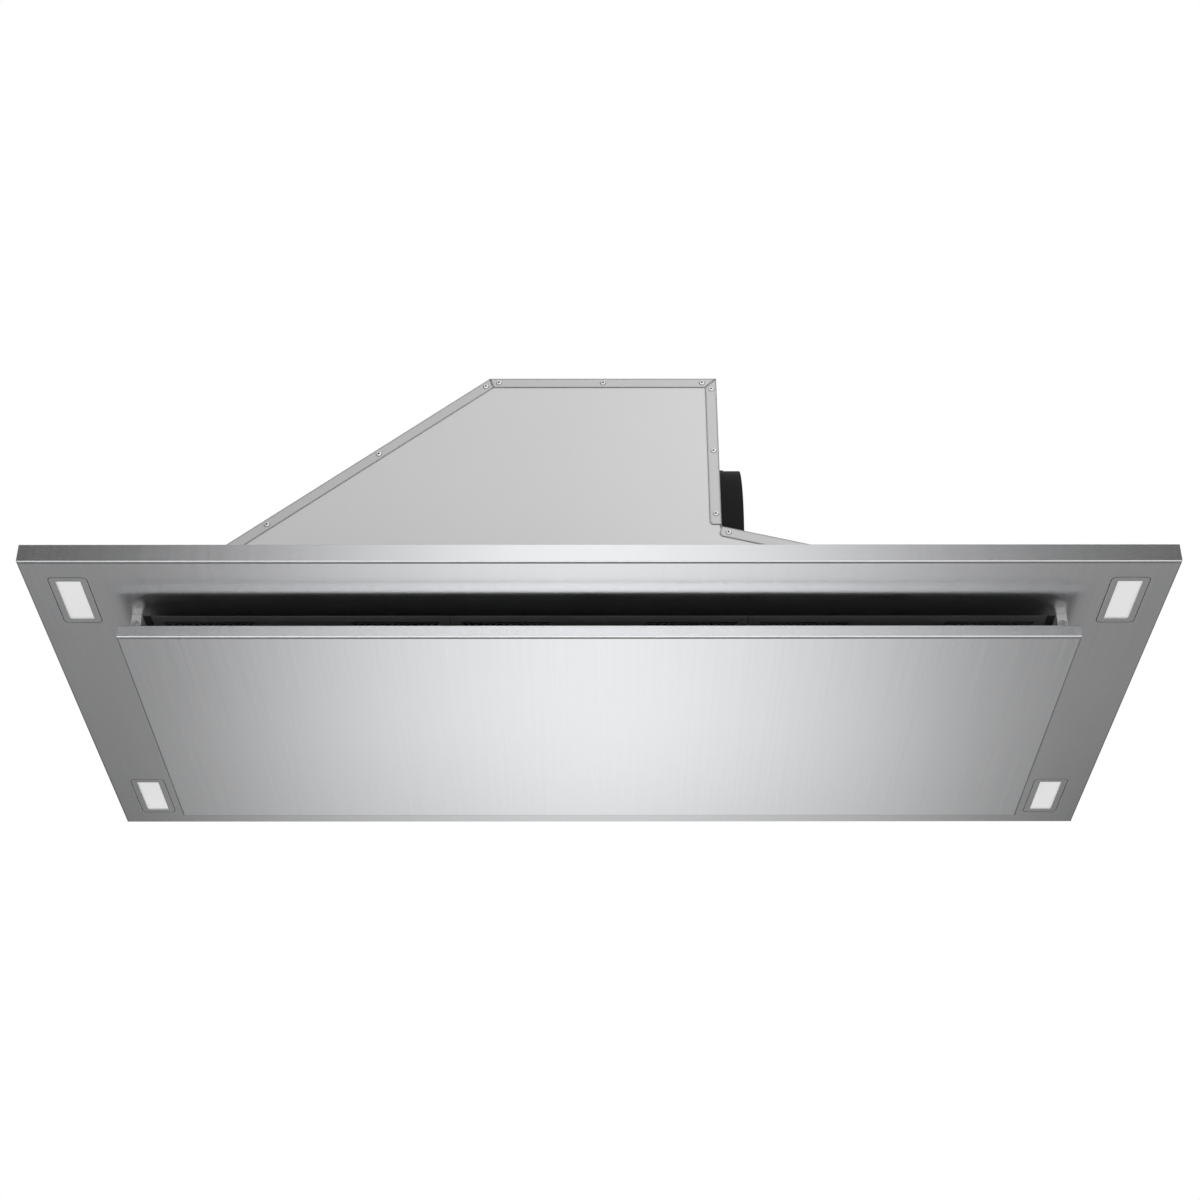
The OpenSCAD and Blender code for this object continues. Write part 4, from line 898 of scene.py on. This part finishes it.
def ribbon(shape, points, width, sheet):
    """A flat bar through the points, its width measured along Y."""
    rings = []
    for point in points:
        rings.append([
            shape.verts.new((point[0], point[1] + side * width / 2, point[2] + level * sheet / 2))
            for side, level in ((-1, -1), (1, -1), (1, 1), (-1, 1))
        ])
    skin(shape, rings, smooth=False)


def expanded_metal(shape, centre, width, length):
    """Stretched sheet: wavy strands that meet their neighbours in short flat bonds."""
    screen = bpy.context.scene.hood_screens
    columns = max(1, round(width / screen.cell_width))
    rows = max(1, round(length / screen.cell_length * 2))
    step_x = width / columns / 2
    step_y = length / rows
    bond = step_x * 0.22
    inset = screen.strand * 0.42  # under half, so that two strands overlap at a bond
    for row in range(rows + 1):
        mid_y = centre[1] - length / 2 + row * step_y
        points = []
        for stop in range(2 * columns + 1):
            side = 1 if (stop + row) % 2 else -1
            if (row == 0 and side < 0) or (row == rows and side > 0):
                side = 0
            along = centre[0] - width / 2 + stop * step_x
            swing = side * (step_y / 2 - inset)
            level = centre[2] + side * screen.lift
            if stop > 0:
                points.append((along - bond, mid_y + swing, level))
            if stop < 2 * columns:
                points.append((along + bond, mid_y + swing, level))
        ribbon(shape, points, screen.strand, screen.sheet)


def coil(shape, start, end, radius, wire, turns, sides=8, turn_steps=20):
    """A round wire wound from start to end, its turns a little closer near both ends."""
    start, end = Vector(start), Vector(end)
    run = end - start
    length = run.length
    turned = Vector((0, 0, 1)).rotation_difference(run.normalized())
    steps = turns * turn_steps
    centre_r = radius - wire / 2
    closing = 0.21
    rings = []
    for step in range(steps + 1):
        share = step / steps
        angle = 2 * math.pi * turns * share
        eased = share - closing * math.sin(2 * math.pi * share) / (2 * math.pi)
        rise = wire / 2 + (length - wire) * eased
        out = Vector((math.cos(angle), math.sin(angle), 0))
        middle = out * centre_r + Vector((0, 0, rise))
        ring = []
        for side in range(sides):
            turn = 2 * math.pi * side / sides
            place = middle + out * math.cos(turn) * wire / 2 + Vector((0, 0, math.sin(turn) * wire / 2))
            ring.append(shape.verts.new(start + turned @ place))
        rings.append(ring)
    skin(shape, rings, smooth=True)


def rivet_heads():
    """The crown of each blind rivet, from the separate shells of the rivets' mesh."""
    shape = bmesh.new()
    shape.from_mesh(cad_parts["body_rivets"].data)
    bmesh.ops.remove_doubles(shape, verts=shape.verts, dist=0.000001)
    waiting = set(shape.verts)
    heads = []
    while waiting:
        shell, edge_of_shell = set(), [waiting.pop()]
        while edge_of_shell:
            corner = edge_of_shell.pop()
            shell.add(corner)
            for edge in corner.link_edges:
                other = edge.other_vert(corner)
                if other in waiting:
                    waiting.remove(other)
                    edge_of_shell.append(other)
        places = [corner.co for corner in shell]
        outer = max(places, key=lambda place: abs(place.y)).y
        centre_x = (min(place.x for place in places) + max(place.x for place in places)) / 2
        centre_z = (min(place.z for place in places) + max(place.z for place in places)) / 2
        heads.append(Vector((centre_x, outer, centre_z)))
    shape.free()
    if len(heads) < 2:
        raise RuntimeError("the rivets were not found one by one")
    return sorted(heads, key=lambda head: tuple(head))


def finish_piece(item, slot, body, *nodes):
    """Material, body and replaced nodes of a piece made here."""
    item.data.materials.append(finish_of(slot, item.name))
    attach(item, body)
    if nodes:
        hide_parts(*nodes)


# Stage


def staged(item):
    """Hands back the studio object as it is."""
    return item


def plain_emitter(name):
    """A material of nothing but light, and its tree, shader and coordinates."""
    material = bpy.data.materials.new(name)
    material.use_nodes = True
    material.cycles.emission_sampling = "NONE"
    tree = material.node_tree
    tree.nodes.remove(tree.nodes["Principled BSDF"])
    light = tree.nodes.new("ShaderNodeEmission")
    tree.links.new(light.outputs[0], tree.nodes["Material Output"].inputs["Surface"])
    place = tree.nodes.new("ShaderNodeTexCoord").outputs["Object"]
    split = tree.nodes.new("ShaderNodeSeparateXYZ")
    tree.links.new(place, split.inputs[0])
    return material, tree, light, split.outputs


def curve_of(tree, value, span, points):
    """Turns a value from 0 to span into the level that the listed points give."""
    scaled_value = maths(tree, "DIVIDE", value, span)
    ramp = tree.nodes.new("ShaderNodeFloatCurve")
    line = ramp.mapping.curves[0]
    top = max(level for _, level in points)
    while len(line.points) < len(points):
        line.points.new(0.5, 0.5)
    for knot, (where, level) in zip(line.points, points):
        knot.location = (where / span, level / top)
        knot.handle_type = "VECTOR"
    ramp.mapping.update()
    tree.links.new(scaled_value, ramp.inputs["Value"])
    return maths(tree, "MULTIPLY", ramp.outputs[0], top)


def reflection_card(name, low, high, across, rising=None, axis=0):
    """A card that only shiny surfaces see. Its light changes along the axis and with height."""
    if low[0] == high[0]:
        corners = [low, (low[0], high[1], low[2]), high, (low[0], low[1], high[2])]
    else:
        corners = [low, (high[0], low[1], low[2]), high, (low[0], high[1], high[2])]

    def build(shape):
        shape.faces.new([shape.verts.new(corner) for corner in corners])

    card = staged(mesh_object(name, build))
    material, tree, light, place = plain_emitter(name)
    away = maths(tree, "ABSOLUTE", place[axis])
    level = curve_of(tree, away, across[-1][0], across)
    if rising:
        up = maths(tree, "SUBTRACT", place[2], low[2])
        level = maths(tree, "MULTIPLY", level, curve_of(tree, up, high[2] - low[2], rising))
    tree.links.new(level, light.inputs["Strength"])
    card.data.materials.append(material)
    for sight in ("camera", "diffuse", "transmission", "volume_scatter", "shadow"):
        setattr(card, "visible_" + sight, False)


def seen_directly(tree):
    """1 for what the camera, a reflection or a clear piece sees, else 0."""
    path = tree.nodes.new("ShaderNodeLightPath")
    seen = maths(tree, "MAXIMUM", path.outputs["Is Camera Ray"], path.outputs["Is Glossy Ray"])
    return maths(tree, "MAXIMUM", seen, path.outputs["Is Transmission Ray"])


def make_world(settings):
    """Even light on the hood, in front of a white background."""
    world = bpy.data.worlds.new("Studio")
    bpy.context.scene.world = world
    world.use_nodes = True
    tree = world.node_tree
    back = tree.nodes["Background"]
    back.inputs["Color"].default_value = (1, 1, 1, 1)
    extra = maths(tree, "MULTIPLY", seen_directly(tree), 1.0 - settings.room_light)
    tree.links.new(maths(tree, "ADD", extra, settings.room_light), back.inputs["Strength"])


def floor_finish(settings):
    """Plain pale paint, which fades to the white of the background towards the rim."""
    fade_start, fade_end = 0.35, 0.97
    finish = Finish("Studio floor")
    grain = finish.effect("Uneven Sheen", patches=2.0)
    finish.colour(finish.shades(grain["Mask"], settings.floor_colour, 0.99, 1.01))
    finish.shader.inputs["Roughness"].default_value = 0.9
    finish.shader.inputs["Specular IOR Level"].default_value = 0.1
    tree = finish.tree
    flat = vector_maths(tree, "MULTIPLY", finish.position, (1, 1, 0))["Vector"]
    fade = tree.nodes.new("ShaderNodeMapRange")
    fade.interpolation_type = "SMOOTHSTEP"
    fade.inputs["From Min"].default_value = settings.floor_radius * fade_start
    fade.inputs["From Max"].default_value = settings.floor_radius * fade_end
    tree.links.new(vector_maths(tree, "LENGTH", flat)["Value"], fade.inputs["Value"])
    white = tree.nodes.new("ShaderNodeEmission")
    mixed = tree.nodes.new("ShaderNodeMixShader")
    tree.links.new(maths(tree, "MULTIPLY", fade.outputs["Result"], seen_directly(tree)), mixed.inputs[0])
    tree.links.new(finish.shader.outputs[0], mixed.inputs[1])
    tree.links.new(white.outputs[0], mixed.inputs[2])
    tree.links.new(mixed.outputs[0], tree.nodes["Material Output"].inputs["Surface"])
    return finish.material


def make_floor(settings):
    """A round floor."""
    rim_steps = 96

    def build(shape):
        rim = []
        for step in range(rim_steps):
            angle = 2 * math.pi * step / rim_steps
            place = Vector((math.cos(angle), math.sin(angle), 0)) * settings.floor_radius
            place.z = settings.floor_level
            rim.append(shape.verts.new(place))
        shape.faces.new(rim)

    floor = staged(mesh_object("studio_floor", build))
    floor.data.materials.append(floor_finish(settings))


def make_cards():
    """The bright and dark surroundings that the brushed steel shows.

    Each curve lists places, in metres from the hood's middle or the card's foot, with the light there.
    """
    side = 3.2
    rear = 2.0
    front = -4.4
    floor = -1.88
    top = 3.3
    rear_top = 2.5
    front_split = -2.3
    behind_across = [(0, 1.216), (0.2, 1.08), (0.4, 0.915), (0.6, 0.743), (0.8, 0.463), (1.0, 0.23),
                     (1.25, 0.25), (1.6, 0.30), (2.2, 0.30), (3.2, 0.25)]
    behind_rising = [(0, 1.311), (0.3, 1.122), (0.42, 0.987), (0.54, 1.0), (0.7, 1.003), (0.85, 0.902),
                     (1.0, 0.772), (1.15, 0.631), (1.58, 0.45), (1.8, 0.15), (2.2, 0.15),
                     (2.6, 1.2), (4.38, 1.2)]
    reflection_card("card_behind", (-side, rear, floor), (side, rear, rear_top),
                    behind_across, behind_rising)
    high_y, high_foot = -3.2, 1.15
    high_across = [(0, 2.167), (0.2, 1.608), (0.4, 1.15), (0.6, 1.0), (0.8, 0.64), (1.0, 0.03),
                   (1.25, 0.0), (1.6, 0.0), (2.2, 0.1), (3.2, 0.1)]
    reflection_card("card_front_high", (-side, high_y, high_foot), (side, high_y, top), high_across)
    low_y, low_foot, low_top = -3.3, -0.9, 1.1
    low_across = [(0, 1.2), (3.2, 1.0)]
    reflection_card("card_front_low", (-side, low_y, low_foot), (side, low_y, low_top), low_across)
    under_across = [(0, 2.895), (0.3, 1.867), (0.6, 1.281), (0.9, 0.401), (1.3, 0.02), (3.2, 0.02)]
    reflection_card("card_under_front", (-side, front, floor), (side, front_split, floor), under_across)
    over_floor, over_floor_rear = -1.885, 1.98
    reflection_card("card_over_floor", (-side, front_split, over_floor),
                    (side, over_floor_rear, over_floor), [(0, 0.2), (3.2, 0.2)])
    split_y, split_z = -0.6, 0.3
    beside = [(0, 0.6), (0.9, 0.5), (1.5, 0.05), (4.4, 0.03)]
    beside_high = [(0, 0.6), (2.0, 0.5)]
    for hand, x in (("left", -side), ("right", side)):
        reflection_card(f"card_{hand}_front", (x, front, floor), (x, split_y, top), beside, axis=1)
        reflection_card(f"card_{hand}_rear_low", (x, split_y, floor), (x, rear, split_z), beside, axis=1)
        reflection_card(f"card_{hand}_rear_high", (x, split_y, split_z), (x, rear, top),
                        beside_high, axis=1)


def make_lamp(settings):
    """A large soft lamp in front of the body, on its right."""
    data = bpy.data.lights.new("Soft front lamp", "AREA")
    data.shape = "RECTANGLE"
    data.size = 1.5
    data.size_y = 1.0
    data.energy = settings.lamp_power
    lamp = bpy.data.objects.new("soft_front_lamp", data)
    lamp.location = (0.9, -1.5, 0.4)
    aim = Vector((0.1, -0.2, 0.15))
    lamp.rotation_euler = (aim - lamp.location).to_track_quat("-Z", "Y").to_euler()
    lamp.visible_glossy = False
    lamp.visible_camera = False
    bpy.context.scene.collection.objects.link(lamp)


def make_camera(settings):
    """The photograph's view, from below and in front."""
    data = bpy.data.cameras.new("Camera")
    data.lens = settings.lens
    data.sensor_width = 36
    data.clip_start = 0.05
    camera = bpy.data.objects.new("camera", data)
    camera.location = settings.camera_place
    camera.rotation_euler = Euler(settings.camera_turn)
    bpy.context.scene.collection.objects.link(camera)
    bpy.context.scene.camera = camera


# Operators


class HOOD_OT_stage(bpy.types.Operator):
    """Camera, floor, soft light and reflection cards"""

    bl_idname = "hood.stage"
    bl_label = "Stage"

    def execute(self, context):
        settings = context.scene.hood_stage
        make_camera(settings)
        make_world(settings)
        make_floor(settings)
        make_cards()
        make_lamp(settings)
        context.scene.view_settings.view_transform = "Standard"
        return {"FINISHED"}


class HOOD_OT_canopy(bpy.types.Operator):
    """Brushed canopy with its skirt and intake edge"""

    bl_idname = "hood.canopy"
    bl_label = "Canopy"

    def execute(self, context):
        dress("canopy_tray")
        return {"FINISHED"}


class HOOD_OT_lamps(bpy.types.Operator):
    """Four lamps: bezels, opal windows and housings"""

    bl_idname = "hood.lamps"
    bl_label = "Lamps"

    def execute(self, context):
        dress("lamp_bezel_*", "lamp_diffuser_*", "lamp_housing_*")
        return {"FINISHED"}


class HOOD_OT_body(bpy.types.Operator):
    """Coated body sheets with their seams and rivets"""

    bl_idname = "hood.body"
    bl_label = "Body"

    def execute(self, context):
        dress("body_*")
        # The near-black mandrel ends are partly the rivets' own steel and partly painted shade of the
        # rivet holes.
        item = mesh_object("rivet_mandrel_ends", self.mandrel_ends)
        finish_piece(item, "dark_metal", "hood")
        return {"FINISHED"}

    def mandrel_ends(self, shape):
        """The broken end of the mandrel in the hole of each rivet head."""
        radius = 0.00098
        turn_steps = 16
        depths_and_shares = ((0.0009, 1.0), (0.0005, 1.0), (0.0003, 0.7), (0.0002, 0.3))
        for head in rivet_heads():
            rings = []
            for depth, share in depths_and_shares:
                rings.append([
                    shape.verts.new((
                        head.x + radius * share * math.cos(2 * math.pi * step / turn_steps),
                        head.y - math.copysign(depth, head.y),
                        head.z + radius * share * math.sin(2 * math.pi * step / turn_steps),
                    ))
                    for step in range(turn_steps)
                ])
            skin(shape, rings, smooth=True)
        bmesh.ops.recalc_face_normals(shape, faces=shape.faces)


class HOOD_OT_collar(bpy.types.Operator):
    """Duct collar, flaps, pins and wound flap springs"""

    bl_idname = "hood.collar"
    bl_label = "Collar"

    def execute(self, context):
        springs = context.scene.hood_springs
        dress("duct_collar", "damper_flap_*", "damper_pins", "damper_springs")
        low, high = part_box("damper_springs")
        radius = (high.x - low.x) / 2

        def build(shape):
            for side_y in (low.y + radius, high.y - radius):
                middle_x = (low.x + high.x) / 2
                coil(shape, (middle_x, side_y, low.z), (middle_x, side_y, high.z), radius,
                     springs.flap_wire, springs.flap_turns)

        item = mesh_object("flap_springs_wound", build)
        finish_piece(item, "spring_steel", "hood", "damper_springs")
        return {"FINISHED"}


class HOOD_OT_panel(bpy.types.Operator):
    """Perimeter panel with its inner tray, hinges and strikes"""

    bl_idname = "hood.panel"
    bl_label = "Panel"

    def execute(self, context):
        dress("panel_*", "strike_*", "hinge_*")
        return {"FINISHED"}


class HOOD_OT_catches(bpy.types.Operator):
    """Double ball catches"""

    bl_idname = "hood.catches"
    bl_label = "Catches"

    def execute(self, context):
        dress("catch_*")
        return {"FINISHED"}


class HOOD_OT_filters(bpy.types.Operator):
    """Filter borders, expanded metal screens, latches and latch springs"""

    bl_idname = "hood.filters"
    bl_label = "Filters"

    def execute(self, context):
        springs = context.scene.hood_springs
        places = ("left", "middle", "right")
        dress("filter_*", "latch_springs")
        for place in places:
            self.make_screen(place)
        low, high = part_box("latch_springs")
        radius = (high.z - low.z) / 2
        middle_z = (low.z + high.z) / 2
        for place in places:
            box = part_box("filter_latch_" + place)
            middle_x = (box[0].x + box[1].x) / 2

            def build(shape):
                coil(shape, (middle_x, high.y, middle_z), (middle_x, low.y, middle_z), radius,
                     springs.latch_wire, springs.latch_turns)

            item = mesh_object("latch_spring_" + place, build)
            nodes = ("latch_springs",) if place == "middle" else ()
            finish_piece(item, "spring_steel", "hood", *nodes)
            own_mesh(item)
        return {"FINISHED"}

    def make_screen(self, place):
        """The two windows of expanded metal beside the solid strip with the handle."""
        node = "filter_mesh_" + place
        low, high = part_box(node)
        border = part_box("filter_frame_" + place)
        rim = low.x - border[0].x
        hidden_rim = 0.003
        end_gap = 0.001
        middle_strip = 0.104
        window = (high.x - low.x - middle_strip) / 2 + hidden_rim

        def build(shape):
            middle = (low + high) / 2
            for side in (-1, 1):
                centre_x = middle.x + side * ((high.x - low.x) / 2 - window / 2)
                expanded_metal(shape, (centre_x, middle.y, middle.z), window, high.y - low.y - end_gap)

        if rim <= 0:
            raise RuntimeError("the screen is wider than its border")
        item = mesh_object("filter_screen_" + place, build)
        finish_piece(item, "mesh_metal", "hood", node)


class HOOD_OT_blower(bpy.types.Operator):
    """Scroll, inlet rings, wheel, motor and arms"""

    bl_idname = "hood.blower"
    bl_label = "Blower"

    def execute(self, context):
        dress("blower_*", "inlet_ring_*", "motor_arms", "fixing_screws")
        return {"FINISHED"}


class HOOD_OT_electrics(bpy.types.Operator):
    """Control box, gland and capacitor"""

    bl_idname = "hood.electrics"
    bl_label = "Electrics"

    def execute(self, context):
        dress("control_box*", "cable_gland", "run_capacitor")
        return {"FINISHED"}


class HOOD_PT_sidebar(bpy.types.Panel):
    """Lists the settings and the steps of the hood"""

    bl_idname = "HOOD_PT_sidebar"
    bl_label = "Range hood"
    bl_space_type = "VIEW_3D"
    bl_region_type = "UI"
    bl_category = "Range hood"

    def draw(self, context):
        for owner, settings in SETTINGS.items():
            box = self.layout.box()
            box.label(text=settings.__doc__)
            for name in settings.__annotations__:
                box.prop(getattr(context.scene, owner), name)
        for step in STEPS:
            self.layout.operator(step.bl_idname)


SETTINGS = {
    "hood_stage": HoodStageSettings,
    "hood_steel": HoodSteelSettings,
    "hood_coats": HoodCoatSettings,
    "hood_screens": HoodScreenSettings,
    "hood_springs": HoodSpringSettings,
}
STEPS = (
    HOOD_OT_stage,
    HOOD_OT_canopy,
    HOOD_OT_lamps,
    HOOD_OT_body,
    HOOD_OT_collar,
    HOOD_OT_panel,
    HOOD_OT_catches,
    HOOD_OT_filters,
    HOOD_OT_blower,
    HOOD_OT_electrics,
)


def register():
    for owner, settings in SETTINGS.items():
        bpy.utils.register_class(settings)
        setattr(bpy.types.Scene, owner, bpy.props.PointerProperty(type=settings))
    for step in STEPS:
        bpy.utils.register_class(step)
    bpy.utils.register_class(HOOD_PT_sidebar)


def unregister():
    bpy.utils.unregister_class(HOOD_PT_sidebar)
    for step in reversed(STEPS):
        bpy.utils.unregister_class(step)
    for owner, settings in SETTINGS.items():
        delattr(bpy.types.Scene, owner)
        bpy.utils.unregister_class(settings)


def main():
    register()
    bpy.ops.hood.stage()
    bpy.ops.hood.canopy()
    bpy.ops.hood.lamps()
    bpy.ops.hood.body()
    bpy.ops.hood.collar()
    bpy.ops.hood.panel()
    bpy.ops.hood.catches()
    bpy.ops.hood.filters()
    bpy.ops.hood.blower()
    bpy.ops.hood.electrics()


if __name__ == "__main__":
    main()
